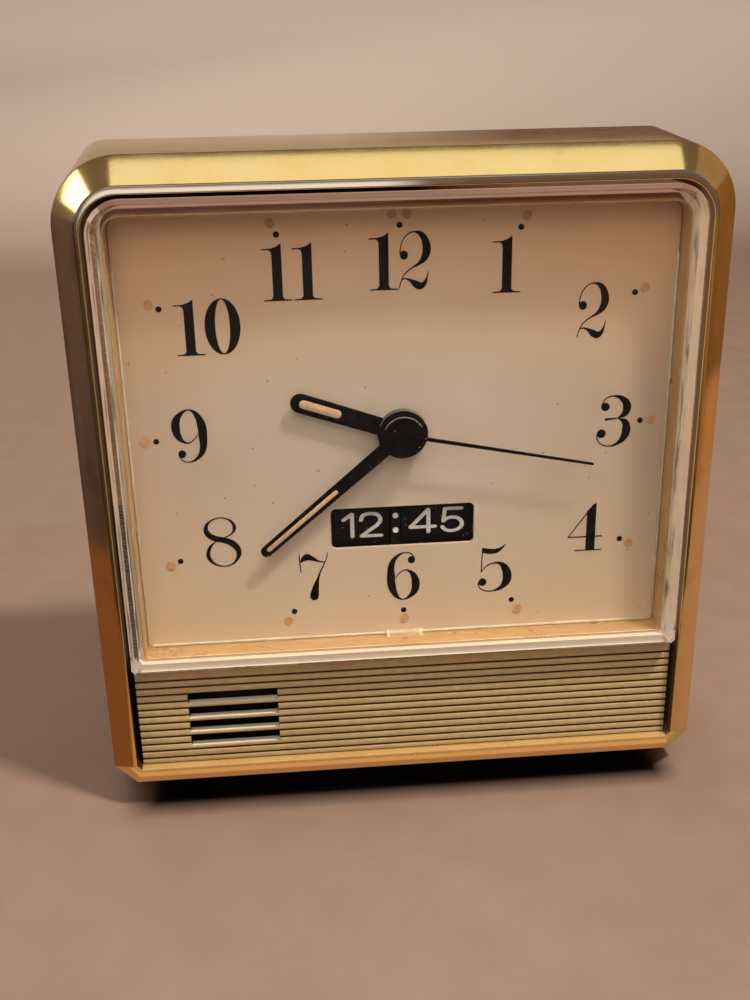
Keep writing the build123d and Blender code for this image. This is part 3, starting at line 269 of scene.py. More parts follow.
# Painted shade: a deep orange towards the top, where the bezel shades the dial.
over(dial_finish, band(dial_finish, 2, 54, 78, high=0.8), (0.745, 0.405, 0.205))
# Painted light: warmer and a little lighter towards the bottom.
over(dial_finish, band(dial_finish, 2, 48, 24, high=0.75), (0.66, 0.50, 0.36))
over(dial_finish, specks(dial_finish, 2.0, 0.085, 0.7), (0.20, 0.12, 0.07))
satin = node(dial_finish, "ShaderNodeTexNoise", Scale=9000.0, Detail=2.0)
satin_bump = dial_finish.node_tree.nodes["bump"]
satin_bump.inputs["Strength"].default_value = 0.06
join(dial_finish, place_on(dial_finish), satin.inputs["Vector"])
join(dial_finish, satin.outputs[0], satin_bump.inputs["Height"])
print("dial finish ready")

# %% [markdown]
# ## Plastics and paints
# The grille panel is khaki plastic, painted almost black deeper in, a painted shade in its grooves. Hands and
# print are black, with a little dust. The luminous paint has aged to tan on the hands and to brown on the dial.

# %% Panel, paints and print
khaki = finish("beige_plastic", (0.52, 0.375, 0.18), (0.64, 0.475, 0.25), (0.42, 0.58), 0.9, relief=0.08)
over(khaki, patches(khaki, 8.0, 0.45, 0.75, high=0.4), (0.54, 0.34, 0.17))
# Painted shade: deeper than about 0.2 mm into the panel, in its grooves, the plastic is almost black.
over(khaki, band(khaki, 1, -14.82, -14.6), (0.07, 0.04, 0.018))
# Partly painted highlight: the slot floors are pale cream where they face the light, and khaki at their front.
ledge = finish("slot_ledge", (0.91, 0.83, 0.66), (0.97, 0.90, 0.76), (0.4, 0.55), 0.8)
over(ledge, band(ledge, 1, -14.6, -14.7), (0.50, 0.36, 0.18))
black = finish("black_lacquer", (0.003, 0.002, 0.002), (0.008, 0.006, 0.006), (0.18, 0.28), 1.5, relief=0.0)
over(black, specks(black, 1.0, 0.09, 0.8), (0.45, 0.41, 0.38))
tune(black, Specular_IOR_Level=0.15)
ink = finish("dial_ink", (0.004, 0.003, 0.003), (0.010, 0.008, 0.008), (0.3, 0.45), 0.8, relief=0.03)
over(ink, specks(ink, 0.6, 0.035, 0.7), (0.45, 0.38, 0.30))
tune(ink, Specular_IOR_Level=0.1)
lume = finish("lume", (0.44, 0.27, 0.16), (0.62, 0.43, 0.29), (0.6, 0.8), 0.35, relief=0.3)
# Painted highlight: a lighter lacquer for the upper rounded edges of the hubs.
painted_hub_highlight = finish("painted_hub_highlight", (0.07, 0.06, 0.065), (0.22, 0.19, 0.20), (0.25, 0.4), 0.8, relief=0.0)
aged_dot = finish("aged_lume", (0.42, 0.19, 0.08), (0.60, 0.34, 0.17), (0.6, 0.8), 0.4, relief=0.3)
figure_paint = finish("figure_paint", (0.52, 0.50, 0.50), (0.68, 0.66, 0.66), (0.5, 0.65), 0.6, relief=0.05)
over(figure_paint, specks(figure_paint, 0.7, 0.05, 0.8), (0.15, 0.13, 0.13))
drum_black = finish("drum_black", (0.003, 0.002, 0.002), (0.009, 0.007, 0.008), (0.45, 0.6), 0.5, relief=0.06)
over(drum_black, specks(drum_black, 0.5, 0.16, 0.7), (0.50, 0.46, 0.44))
tune(drum_black, Specular_IOR_Level=0.1)
print("paints ready")

# %% [markdown]
# ## Finishes of the frame, the back and the works
# The remaining slots of the record need no special recipe. Each gets a grain of the right size: moulded plastic
# is fine and matt, turned metal is drawn out along one axis, rubber is rough. The inner frame is black, but
# the ledge on which the crystal stands is brown round the dial.

# %% The other slots
plain_slots = {
    "black_frame": ((0.004, 0.003, 0.003), (0.012, 0.010, 0.009), (0.4, 0.55), 0.6),
    "black_cover": ((0.018, 0.016, 0.015), (0.042, 0.038, 0.035), (0.5, 0.68), 0.28, 0.45),
    "wheel_nylon": ((0.74, 0.73, 0.68), (0.88, 0.87, 0.82), (0.4, 0.55), 1.2),
    "steel": ((0.42, 0.42, 0.43), (0.66, 0.66, 0.65), (0.22, 0.4), 0.8, 0.05, 1.0, (1, 12, 12)),
    "brass_plain": ((0.52, 0.34, 0.12), (0.74, 0.53, 0.24), (0.22, 0.4), 0.8, 0.05, 1.0, (12, 1, 12)),
    "movement_grey": ((0.20, 0.20, 0.21), (0.31, 0.31, 0.32), (0.45, 0.6), 0.7),
    "board_green": ((0.02, 0.11, 0.045), (0.06, 0.22, 0.10), (0.3, 0.45), 1.4),
    "copper_wire": ((0.34, 0.11, 0.03), (0.60, 0.24, 0.08), (0.25, 0.4), 0.3, 0.5, 0.8, (6, 0.3, 0.3)),
    "cell_label": ((0.16, 0.17, 0.19), (0.30, 0.31, 0.33), (0.25, 0.4), 3.0, 0.02),
    "foot_rubber": ((0.010, 0.010, 0.010), (0.03, 0.03, 0.03), (0.7, 0.9), 0.5, 0.3),
}
finishes = {slot: finish(slot, *recipe) for slot, recipe in plain_slots.items()}
finishes.update(gold_plate=gold, clear_acrylic=edge, champagne=dial_finish, beige_plastic=khaki,
                black_lacquer=black, lume=lume, drum_black=drum_black)
frame_black = finishes["black_frame"]
ledge_round_dial = both(frame_black, band(frame_black, 1, -10.7, -10.88), band(frame_black, 2, 42, 43))
over(frame_black, ledge_round_dial, (0.34, 0.20, 0.125))
tune(frame_black, Specular_IOR_Level=0.1)
dark_brass = finish("dark_brass", (0.02, 0.014, 0.009), (0.05, 0.034, 0.018), (0.5, 0.65), 0.8, metallic=0.5)
for name, solid in nodes.items():
    solid.data.materials.clear()
    solid.data.materials.append(dark_brass if name == "buzzer_disc" else finishes[slot_of_node[name]])
print("dressed", len(nodes), "nodes in", len(finishes), "finishes")

# %% [markdown]
# ## Helpers for pieces
# A new piece is shaped in a bmesh, in millimetres, and kept as a mesh object at the origin. It rides on the body
# of the CAD node that it stands for or sits on, and is given its finishes, often that node's own.

# %% Helpers for pieces
def keep(name, shape, body, materials, stands_for=(), sharp=35):
    """Makes the bmesh an object of the scene that moves with a body."""
    bmesh.ops.scale(shape, vec=(MM, MM, MM), verts=shape.verts)
    mesh = bpy.data.meshes.new(name)
    shape.to_mesh(mesh)
    shape.free()
    mesh.shade_smooth()
    mesh.set_sharp_from_angle(angle=math.radians(sharp))
    for material in materials:
        mesh.materials.append(material)
    piece = bpy.data.objects.new(name, mesh)
    bpy.context.scene.collection.objects.link(piece)
    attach(piece, body)
    if stands_for:
        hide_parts(*stands_for)
    print(name, "has", len(mesh.polygons), "faces")


def copied(name):
    """The mesh of a CAD node in millimetres, merged, with its flat faces made whole."""
    shape = bmesh.new()
    shape.from_mesh(nodes[name].data)
    bmesh.ops.scale(shape, vec=(1 / MM, 1 / MM, 1 / MM), verts=shape.verts)
    bmesh.ops.remove_doubles(shape, verts=shape.verts, dist=0.002)
    bmesh.ops.dissolve_limit(shape, angle_limit=math.radians(0.5), verts=shape.verts, edges=shape.edges)
    return shape


def rounded(shape, edges, width, segments):
    """Rounds edges of a shape."""
    bmesh.ops.bevel(shape, geom=edges, offset=width, segments=segments, profile=0.5, affect="EDGES",
                    material=-1, clamp_overlap=True)


def soften(shape, width):
    """Rounds all the sharp edges of a shape."""
    sharp = math.radians(30)
    rounded(shape, [e for e in shape.edges if e.is_manifold and e.calc_face_angle() > sharp], width, 2)


def outline(shape, half, low, high, radius, cut, y):
    """A closed ring with round top corners and cut bottom corners in an upright plane, as a list of edges."""
    corners = [shape.verts.new((x, y, z)) for x, z in ((-half, low), (half, low), (half, high), (-half, high))]
    shape.faces.new(corners)
    for points, offset, segments in ((corners[2:], radius, 20), (corners[:2], cut, 1)):
        bmesh.ops.bevel(shape, geom=points, offset=offset, segments=segments, profile=0.5, affect="VERTICES",
                        material=-1)
    face = next(iter(shape.faces))
    ring = list(face.edges)
    bmesh.ops.delete(shape, geom=[face], context="FACES_ONLY")
    return ring


def skin(shape, rings):
    """Faces between each ring and the next one."""
    for first, second in zip(rings, rings[1:]):
        bmesh.ops.bridge_loops(shape, edges=first + second)

# %% [markdown]
# ## Bezel
# The gold bezel is one ring: side wall, wide bevel, narrow land and the step down to the crystal. Rings with the
# same number of points are drawn at each corner of its section and bridged. The wall's top corners are tighter
# at the back. The long edges are rounded a little last, which is where plated edges catch the light.

# %% Bezel
half, low, high, wall, cut = 39.3, 2.4, 83.9, 1.2, 2.8
back_y, shoulder_y, lip_y, seat_y = 11.0, -13.2, -16.0, -12.6
cut_loss = 2 - math.sqrt(2)  # what a cut corner loses for each millimetre that its outline moves inwards
opening = (half - 3.4, low + 3.85, high - 4.05, 4.5, 0.6)
hollow = (half - wall, low + wall, high - wall, 6.8, cut - wall * cut_loss)
shape = bmesh.new()
back_out = outline(shape, half, low, high, 3.5, cut, back_y)
shoulder = outline(shape, half, low, high, 8.0, cut, shoulder_y)
lip = outline(shape, half - 2.9, low + 3.3, high - 3.1, 5.05, 0.6 + 0.55 * cut_loss, lip_y)
step = outline(shape, *opening, lip_y)
seat = outline(shape, *opening, seat_y)
inside = outline(shape, *hollow, seat_y)
back_in = outline(shape, *hollow, back_y)
skin(shape, [back_out, shoulder, lip, step, seat, inside, back_in, back_out])
bmesh.ops.recalc_face_normals(shape, faces=shape.faces)
rounded(shape, [e for ring in (back_out, shoulder, lip, step, back_in) for e in ring], 0.14, 3)
sill_low, sill_high = 5.75, 6.5
for face in shape.faces:
    middle = face.calc_center_median()
    is_inner = abs(middle.x) < 36
    on_lip = face.normal.y < -0.9 and middle.y < -15.9 and middle.z > 76
    in_step = is_inner and abs(face.normal.y) < 0.1 and -15.8 < middle.y < -12.5 and sill_high < middle.z < 80
    on_sill = is_inner and -16.1 < middle.y < -12.7 and sill_low < middle.z < sill_high
    # The step's faces take the painted shade, and the bottom sill takes the rougher gold.
    face.material_index = 1 if on_lip else 2 if in_step else 3 if on_sill else 0
keep("bezel", shape, "case", [gold, worn_lip, painted_shade_step, lit_step], ["bezel_frame"], sharp=14)

# %% [markdown]
# ## Crystal
# The box crystal is drawn the same way, from the inner side of its pane down to its foot on the inner frame, and
# up its outer side to the chamfered front. The pane's faces get the glass finish, the walls and their foot the
# milky one with its painted glow, and the top of the outer wall the dark one, a painted shade.

# %% Crystal
half, low, high, wall, chamfer, corner, cut = 35.2, 20.85, 79.4, 1.0, 0.5, 4.0, 0.4
foot_y, neck_y, brow_y, front_y, pane_y = -10.9, -15.6, -16.5, -17.0, -15.4
hollow = (half - wall, low + wall, high - wall, corner - wall, cut)
shape = bmesh.new()
foot, neck, brow = [outline(shape, half, low, high, corner, cut, y) for y in (foot_y, neck_y, brow_y)]
front = outline(shape, half - chamfer, low + chamfer, high - chamfer, corner - chamfer, cut, front_y)
pane_in, foot_in = [outline(shape, *hollow, y) for y in (pane_y, foot_y)]
skin(shape, [pane_in, foot_in, foot, neck, brow, front])
for ring in (front, pane_in):
    bmesh.ops.edgeloop_fill(shape, edges=ring)
bmesh.ops.recalc_face_normals(shape, faces=shape.faces)
for face in shape.faces:
    middle = face.calc_center_median()
    is_wall = abs(face.normal.y) < 0.5 or middle.y > -11
    # The top of the outer wall takes the painted shade.
    on_brow = is_wall and middle.z > 74 and face.normal.z > 0.6 and middle.y > -15.7
    face.material_index = 2 if on_brow else 1 if is_wall else 0
keep("box_crystal", shape, "case", [pane, edge, brow_shade], ["crystal"], sharp=28)

# %% [markdown]
# ## Dial rim
# The rim round the dial is a thin gilt ring with a small lug at its lower middle, where it is clipped to the
# crystal. The lug is bare, pale plastic, with a painted highlight on each of its two ends. A copy of the solid
# gets softer edges and its lug the paler finish.

# %% Dial rim
lug_half, lug_height = 2.36, 1.5
lug_plastic = finish("lug_plastic", (0.46, 0.33, 0.22), (0.54, 0.41, 0.29), (0.15, 0.25), 0.8, relief=0.02)
# Painted highlight: the lug's two ends are lighter, where its clear edges catch the light.
for sign in (-1, 1):
    over(lug_plastic, band(lug_plastic, 0, sign * 1.9, sign * 2.1), (0.72, 0.62, 0.48))
shape = copied("dial_rim")
soften(shape, 0.04)
rim_low, rim_top = min(v.co.z for v in shape.verts), max(v.co.z for v in shape.verts)
rim_out = max(v.co.x for v in shape.verts)
for face in shape.faces:
    middle = face.calc_center_median()
    on_lug = abs(middle.x) < lug_half and middle.z < rim_low + lug_height and abs(face.normal.x) < 0.99
    goes_round = len(face.verts) > 4 and face.calc_area() > 20
    face.material_index = 1 if on_lug and not goes_round else 0
print("rim is", round(2 * rim_out, 2), "mm wide and", round(rim_top - rim_low, 2), "mm high")

# %% [markdown]
# At the rim's foot a fine bead of clear cement shows along the bottom and both sides. It is three thin bars in
# the inner corner, with round front edges.

# %% Bead of cement
bead = finish("cement_bead", (0.44, 0.38, 0.28), (0.58, 0.51, 0.40), (0.15, 0.3), 1.5, relief=0.02)
rim_wall, bead_size, bead_depth, bead_front = 0.25, 0.28, 0.3, -11.7
rim_in = rim_out - rim_wall
foot_z = rim_low + rim_wall + bead_size / 2
side_x, side_z, side_length = rim_in - bead_size / 2, (foot_z + rim_top - 6) / 2, rim_top - 7 - foot_z
for x, z, wide, tall in ((0, foot_z, 2 * rim_in - 1.2, bead_size),
                         (-side_x, side_z, bead_size, side_length),
                         (side_x, side_z, bead_size, side_length)):
    place = Matrix.Translation((x, bead_front + bead_depth / 2, z))
    size = Matrix.Diagonal((wide, bead_depth, tall, 1))
    corners = bmesh.ops.create_cube(shape, size=1, matrix=place @ size)["verts"]
    for face in {face for corner in corners for face in corner.link_faces}:
        face.material_index = 2
    edges = {e for corner in corners for e in corner.link_edges}
    rounded(shape, [e for e in edges if all(v.co.y < bead_front + 0.01 for v in e.verts)], 0.1, 2)
keep("dial_rim_gilt", shape, "case", [rim_gilt, lug_plastic, bead], ["dial_rim"])

# %% [markdown]
# ## Grille panel
# The ribs and sound slots are cut in the CAD solid already. A copy gets its edges rounded, so that each rib has
# a light upper edge, and the floors of the four slots get a pale cream finish, partly a painted highlight where
# they face the light.

# %% Grille panel
slots_left, slots_right, slots_front, slots_top = -28.6, -17.1, -14.75, 18.5
shape = copied("grille_panel")
soften(shape, 0.07)
for face in shape.faces:
    middle = face.calc_center_median()
    in_slot = slots_left < middle.x < slots_right and middle.y > slots_front and middle.z < slots_top
    face.material_index = 1 if in_slot and face.normal.z > 0.5 else 0
keep("ribbed_panel", shape, "case", [khaki, ledge], ["grille_panel"])

# %% [markdown]
# ## Hands
# The hands are stamped from thin sheet and lacquered black. Copies of the solids get their stamped edges
# rounded, the upper rounded edges of the hubs get a painted highlight in a lighter lacquer, and the strips of
# luminous paint get a slightly raised skin.

# %% Hands
dial_middle = 50.2
for name, width in (("hour_hand", 0.08), ("minute_hand", 0.08), ("second_hand", 0.04), ("hand_cap", 0.03)):
    shape = copied(name)
    soften(shape, width)
    for face in shape.faces:
        from_hub = face.calc_center_median() - Vector((0, 0, dial_middle))
        is_rounding = -0.95 < face.normal.y < -0.2 and 2.3 < math.hypot(from_hub.x, from_hub.z) < 3.2
        # The upper rounded edges of the hubs take the painted highlight.
        face.material_index = 1 if is_rounding and from_hub.z > 1.2 else 0
    keep(name + "_lacquered", shape, body_of_node[name], [black, painted_hub_highlight], [name])
for name in ("hour_lume", "minute_lume"):
    shape = copied(name)
    front_faces = [f for f in shape.faces if f.normal.y < -0.9]
    bmesh.ops.inset_region(shape, faces=front_faces, thickness=0.12, depth=0.05, use_even_offset=True)
    keep(name + "_strip", shape, body_of_node[name], [lume], [name], sharp=60)

# %% [markdown]
# ## Pieces at the back
# The battery door, the setting knob, the thumb wheel, the switch and the feet are moulded, so none of their edges
# is sharp. Copies of the solids get small round edges.

# %% Battery door, knob, thumb wheel, switch and feet
for name, width in (("battery_door", 0.25), ("time_set_knob", 0.12), ("alarm_set_wheel", 0.08),
                    ("alarm_switch", 0.18), ("feet", 0.4)):
    shape = copied(name)
    soften(shape, width)
    keep(name + "_moulded", shape, body_of_node[name], [finishes[slot_of_node[name]]], [name])

# %% [markdown]
# The four case screws have a cross recess. The flat end of each head is opened, bridged to the outline of a cross,
# and the cross is drawn inwards to a smaller floor.

# %% Case screws
def points_in(geometry):
    """The points among what an operator returns."""
    return [part for part in geometry if isinstance(part, bmesh.types.BMVert)]


arm_reach, arm_half, recess_depth, floor_share = 1.05, 0.26, 0.75, 0.8
cross = [(arm_half, arm_half), (arm_half, arm_reach), (-arm_half, arm_reach), (-arm_half, arm_half),
         (-arm_reach, arm_half), (-arm_reach, -arm_half), (-arm_half, -arm_half), (-arm_half, -arm_reach),
         (arm_half, -arm_reach), (arm_half, -arm_half), (arm_reach, -arm_half), (arm_reach, arm_half)]
screw_slot = slot_of_node["case_screws"]
shape = copied("case_screws")
end_y = max(v.co.y for v in shape.verts)
for end in [f for f in shape.faces if f.normal.y > 0.9 and f.calc_center_median().y > end_y - 0.01]:
    middle = end.calc_center_median()
    rim = list(end.edges)
    bmesh.ops.delete(shape, geom=[end], context="FACES_ONLY")
    points = [shape.verts.new(middle + Vector((x, 0, z))) for x, z in cross]
    mouth = [shape.edges.new((a, b)) for a, b in zip(points, points[1:] + points[:1])]
    bmesh.ops.bridge_loops(shape, edges=rim + mouth)
    drawn = bmesh.ops.extrude_edge_only(shape, edges=mouth)["geom"]
    floor_points = points_in(drawn)
    bmesh.ops.translate(shape, verts=floor_points, vec=(0, -recess_depth, 0))
    bmesh.ops.scale(shape, vec=(floor_share, 1, floor_share), verts=floor_points, space=Matrix.Translation(-middle))
    bmesh.ops.edgeloop_fill(shape, edges=[e for e in drawn if isinstance(e, bmesh.types.BMEdge) and e.is_boundary])
bmesh.ops.recalc_face_normals(shape, faces=shape.faces)
keep("case_screws_crossed", shape, "case", [finishes[screw_slot]], ["case_screws"])

# %% [markdown]
# ## Printed figures
# The dial's numerals have thick stems and hairlines. Each figure is drawn as a few strokes: a curve through
# points with a width at each, which Blender turns into a flat ribbon. Balls end some of the strokes, and the
# straight-sided parts are plain outlines. Points are shares of the figure's height.

# %% Strokes, balls and outlines
def stroke(shape, points, closed=False):
    """Adds a flat ribbon through points of (x, y, width) to a bmesh."""
    curve = bpy.data.curves.new("stroke", "CURVE")
    curve.dimensions = "3D"
    curve.twist_mode = "Z_UP"
    curve.extrude = 0.5
    curve.resolution_u = 8
    line = curve.splines.new("BEZIER")
    line.bezier_points.add(len(points) - 1)
    line.use_cyclic_u = closed
    for knot, (x, y, width) in zip(line.bezier_points, points):
        knot.co = (x, y, 0)
        knot.handle_left_type = knot.handle_right_type = "AUTO"
        knot.radius = width
        knot.tilt = math.pi / 2
    drawn = bpy.data.objects.new("stroke", curve)
    bpy.context.scene.collection.objects.link(drawn)
    mesh = bpy.data.meshes.new_from_object(drawn.evaluated_get(bpy.context.evaluated_depsgraph_get()))
    shape.from_mesh(mesh)
    bpy.data.objects.remove(drawn)
    bpy.data.curves.remove(curve)
    bpy.data.meshes.remove(mesh)


def ball(shape, x, y, radius):
    bmesh.ops.create_circle(shape, cap_ends=True, segments=20, radius=radius, matrix=Matrix.Translation((x, y, 0)))


def oval(shape, outer, inner):
    """Adds a flat oval ring between two ovals, given by half their width and height."""
    rings = []
    for wide, tall in (outer, inner):
        made = bmesh.ops.create_circle(shape, segments=64, radius=1)
        bmesh.ops.scale(shape, vec=(wide, tall, 1), verts=made["verts"])
        bmesh.ops.translate(shape, vec=(outer[0], 0.5, 0), verts=made["verts"])
        rings += list({e for v in made["verts"] for e in v.link_edges})
    bmesh.ops.bridge_loops(shape, edges=rings)


def blade(shape, points):
    shape.faces.new([shape.verts.new((x, y, 0)) for x, y in points])


numeral_strokes = {
    "2": [[(.025, .62, .02), (.06, .80, .02), (.17, .95, .02), (.31, .995, .025), (.45, .94, .10), (.53, .80, .15),
           (.545, .68, .16), (.50, .55, .13), (.40, .45, .06), (.27, .38, .025), (.13, .28, .022), (.05, .15, .02),
           (.01, .02, .018)],
          [(.06, .17, .02), (.12, .19, .02), (.22, .16, .05), (.33, .09, .13), (.42, .055, .13), (.50, .10, .08),
           (.555, .22, .025), (.575, .31, .015)]],
    "3": [[(.08, .80, .02), (.15, .93, .02), (.30, .985, .025), (.52, .88, .13), (.565, .76, .16), (.53, .64, .12),
           (.40, .555, .02)],
          [(.16, .535, .05), (.40, .55, .02)],
          [(.42, .545, .02), (.54, .47, .12), (.575, .32, .17), (.53, .17, .13), (.42, .06, .06), (.27, .01, .022),
           (.12, .05, .02), (.03, .16, .02), (.02, .25, .02)]],
    "4": [[(.50, .97, .025), (.02, .31, .02)], [(0, .296, .025), (.68, .296, .025)],
          [(.15, .011, .022), (.68, .011, .022)]],
    "5": [[(0, .2, .02), (.04, .08, .02), (.16, .015, .02), (.30, .01, .025), (.45, .07, .08), (.555, .2, .16),
           (.575, .33, .18), (.52, .5, .14), (.42, .595, .06), (.30, .60, .025), (.17, .55, .02), (.075, .44, .018)],
          [(.085, .94, .02), (.06, .42, .02)],
          [(.085, .885, .10), (.22, .855, .11), (.36, .865, .09), (.46, .92, .045), (.535, 1, .012)]],
    "6": [[(.565, .88, .02), (.50, .97, .02), (.37, .995, .02), (.22, .93, .06), (.11, .78, .12), (.085, .5, .17),
           (.10, .3, .17), (.17, .12, .11), (.27, .02, .04), (.34, .005, .02), (.46, .06, .07), (.575, .2, .15),
           (.595, .34, .17), (.555, .5, .13), (.46, .605, .05), (.37, .63, .022), (.26, .57, .018), (.18, .47, .015)]],
    "7": [[(0, .98, .025), (.03, .61, .025)],
          [(.03, .82, .03), (.10, .89, .11), (.17, .92, .14), (.30, .88, .08), (.44, .82, .03), (.55, .80, .02)],
          [(.62, 1, .02), (.60, .90, .02), (.55, .78, .022), (.45, .60, .03), (.40, .47, .05), (.345, .3, .13),
           (.31, .15, .185), (.30, .08, .19)]],
}
numeral_rings = {
    "8": [(.31, .995, .02), (.12, .93, .03), (.03, .80, .08), (.06, .68, .11), (.20, .58, .115), (.36, .54, .115),
          (.53, .46, .13), (.64, .30, .11), (.60, .14, .06), (.48, .03, .025), (.34, .005, .018), (.16, .06, .04),
          (.05, .20, .08), (.07, .37, .07), (.17, .49, .025), (.40, .60, .02), (.53, .67, .03), (.585, .78, .07),
          (.54, .90, .05), (.44, .97, .025)],
}
numeral_ovals = {"0": [(.33, .5), (.135, .478)]}
numeral_widths = {"0": 0.95, "2": 0.91, "6": 0.94, "7": 0.88, "8": 0.96, "9": 0.94}
numeral_balls = {"2": [(.106, .60, .08)], "3": [(.155, .78, .08), (.104, .26, .085)], "5": [(.09, .207, .08)],
                 "6": [(.51, .84, .075)], "7": [(.30, .095, .095)]}
numeral_blades = {
    "1": [(-.25, 0), (-.25, .018), (-.12, .03), (-.085, .075), (-.085, .80), (-.10, .86), (-.14, .885), (-.26, .885),
          (-.26, .905), (-.10, .91), (0, .94), (.085, 1), (.085, .075), (.12, .03), (.25, .018), (.25, 0)],
    "4": [(.363, 0), (.543, 0), (.543, 1), (.363, .83)],
}
print("figures drawn for", sorted(set(numeral_strokes) | set(numeral_rings) | set(numeral_ovals) | set(numeral_blades)))

# %% [markdown]
# ## Numerals on the dial
# Each numeral's box is centred on its place. The ink is a film of a few hundredths of a millimetre: the flat
# figure is stood upright against the dial and pulled forward by that much.

# %% Numerals
dial_front, ink_depth, numeral_height = -11.4, 0.03, 6.7


def gathered(target, part):
    """Moves the faces of one bmesh into another."""
    mesh = bpy.data.meshes.new("part")
    part.to_mesh(mesh)
    part.free()
    target.from_mesh(mesh)
    bpy.data.meshes.remove(mesh)


def figure(shape, digit, x=0.0):
    """Adds one figure of height 1 with its left edge, or for a 1 its middle, at x."""
    part = bmesh.new()
    drawn = "6" if digit == "9" else digit
    for points in numeral_strokes.get(drawn, []):
        stroke(part, points)
    if drawn in numeral_rings:
        stroke(part, numeral_rings[drawn], closed=True)
    if drawn in numeral_ovals:
        oval(part, *numeral_ovals[drawn])
    for place in numeral_balls.get(drawn, []):
        ball(part, *place)
    if drawn in numeral_blades:
        blade(part, numeral_blades[drawn])
    if digit == "9":
        bmesh.ops.rotate(part, verts=part.verts, cent=(0.34, 0.5, 0), matrix=Matrix.Rotation(math.pi, 3, "Z"))
    bmesh.ops.scale(part, vec=(numeral_widths.get(digit, 1.0), 1, 1), verts=part.verts)
    bmesh.ops.translate(part, verts=part.verts, vec=(x, 0, 0))
    gathered(shape, part)


def stood_up(shape, x, z):
    """Turns flat shapes upright and moves them to a place of the dial."""
    bmesh.ops.rotate(shape, verts=shape.verts, matrix=Matrix.Rotation(math.pi / 2, 3, "X"))
    bmesh.ops.translate(shape, verts=shape.verts, vec=(x, dial_front, dial_middle + z))


def inked(shape, lift=(0, -ink_depth, 0)):
    """Gives flat figures the thickness of their paint."""
    made = bmesh.ops.extrude_face_region(shape, geom=shape.faces[:], use_keep_orig=True)
    bmesh.ops.translate(shape, verts=points_in(made["geom"]), vec=lift)
    bmesh.ops.recalc_face_normals(shape, faces=shape.faces)


numeral_places = {
    "12": (0, 20.8), "1": (12.65, 20.0), "2": (23.3, 14.1), "3": (26.7, 0.05), "4": (23.7, -14.15),
    "5": (11.98, -19.28), "6": (0, -19.78), "7": (-11.55, -19.2), "8": (-22.88, -13.7), "9": (-25.93, 0.52),
    "10": (-22.81, 13.84), "11": (-12.64, 19.97),
}
second_digit_at = {"0": 0.263, "1": 0.525, "2": 0.258}
numerals = bmesh.new()
for text, (x, z) in numeral_places.items():
    part = bmesh.new()
    figure(part, text[0])
    if len(text) > 1:
        figure(part, text[1], second_digit_at[text[1]])
    left, right = min(v.co.x for v in part.verts), max(v.co.x for v in part.verts)
    bmesh.ops.translate(part, verts=part.verts, vec=(-(left + right) / 2, -0.5, 0))
    bmesh.ops.scale(part, vec=(numeral_height, numeral_height, numeral_height), verts=part.verts)
    stood_up(part, x, z)
    inked(part)
    gathered(numerals, part)
keep("dial_numerals", numerals, "case", [ink])

# %% [markdown]
# ## Dots on the dial
# A small black dot marks each hour, and outside it sits a dab of luminous paint that has browned and spread.
# The dabs are thin discs that lie a little proud of the dial, and each one is nudged out of round.

# %% Hour dots and dabs of paint
dot_places = [(0, 24.95), (14.27, 24.3), (28.33, 16.15), (30, 0), (28.33, -16.05), (14.27, -24.0), (0, -24.65),
              (-14.27, -24.0), (-28.33, -16.05), (-30, 0), (-28.33, 16.15), (-14.27, 24.3)]
dab_places = [(-0.87, 26.22), (0.87, 26.22), (14.94, 25.6), (29.5, 16.7), (31.37, 0), (29.55, -16.65),
              (15.1, -25.35), (0.1, -25.8), (-15.1, -25.3), (-29.55, -16.6), (-31.37, 0), (-29.5, 16.7),
              (-14.94, 25.6)]
dot_radius, dab_radius, dab_rise, out_of_round = 0.36, 0.57, 0.09, 0.07


def dot(shape, x, y, z, radius):
    """Adds a flat upright dot to a bmesh."""
    bmesh.ops.create_circle(shape, cap_ends=True, segments=24, radius=radius,
                            matrix=Matrix.Translation((x, y, z)) @ Matrix.Rotation(math.pi / 2, 4, "X"))


dots = bmesh.new()
for x, z in dot_places:
    dot(dots, x, dial_front, dial_middle + z, dot_radius)
inked(dots)
keep("hour_dots", dots, "case", [ink])

dabs = bmesh.new()
for index, (x, z) in enumerate(dab_places):
    part = bmesh.new()
    bmesh.ops.create_circle(part, cap_ends=True, segments=20, radius=dab_radius)
    bmesh.ops.translate(part, verts=part.verts, vec=(0, 0, dab_rise))
    squeeze = 1 + out_of_round * math.sin(index * 2.4)
    bmesh.ops.scale(part, vec=(squeeze, 1 / squeeze, 1), verts=part.verts)
    bmesh.ops.rotate(part, verts=part.verts, matrix=Matrix.Rotation(index * 1.3, 3, "Z"))
    stood_up(part, x, z)
    gathered(dabs, part)
keep("lume_dabs", dabs, "case", [aged_dot], sharp=80)

# %% [markdown]
# ## Figures on the alarm drums
# Two drums carry the alarm time: hours 1 to 12 and minutes in fives, twelve places each, in round-ended light
# grey figures. They are drawn flat as the numerals are, with one stroke width, and then wrapped round the drum.

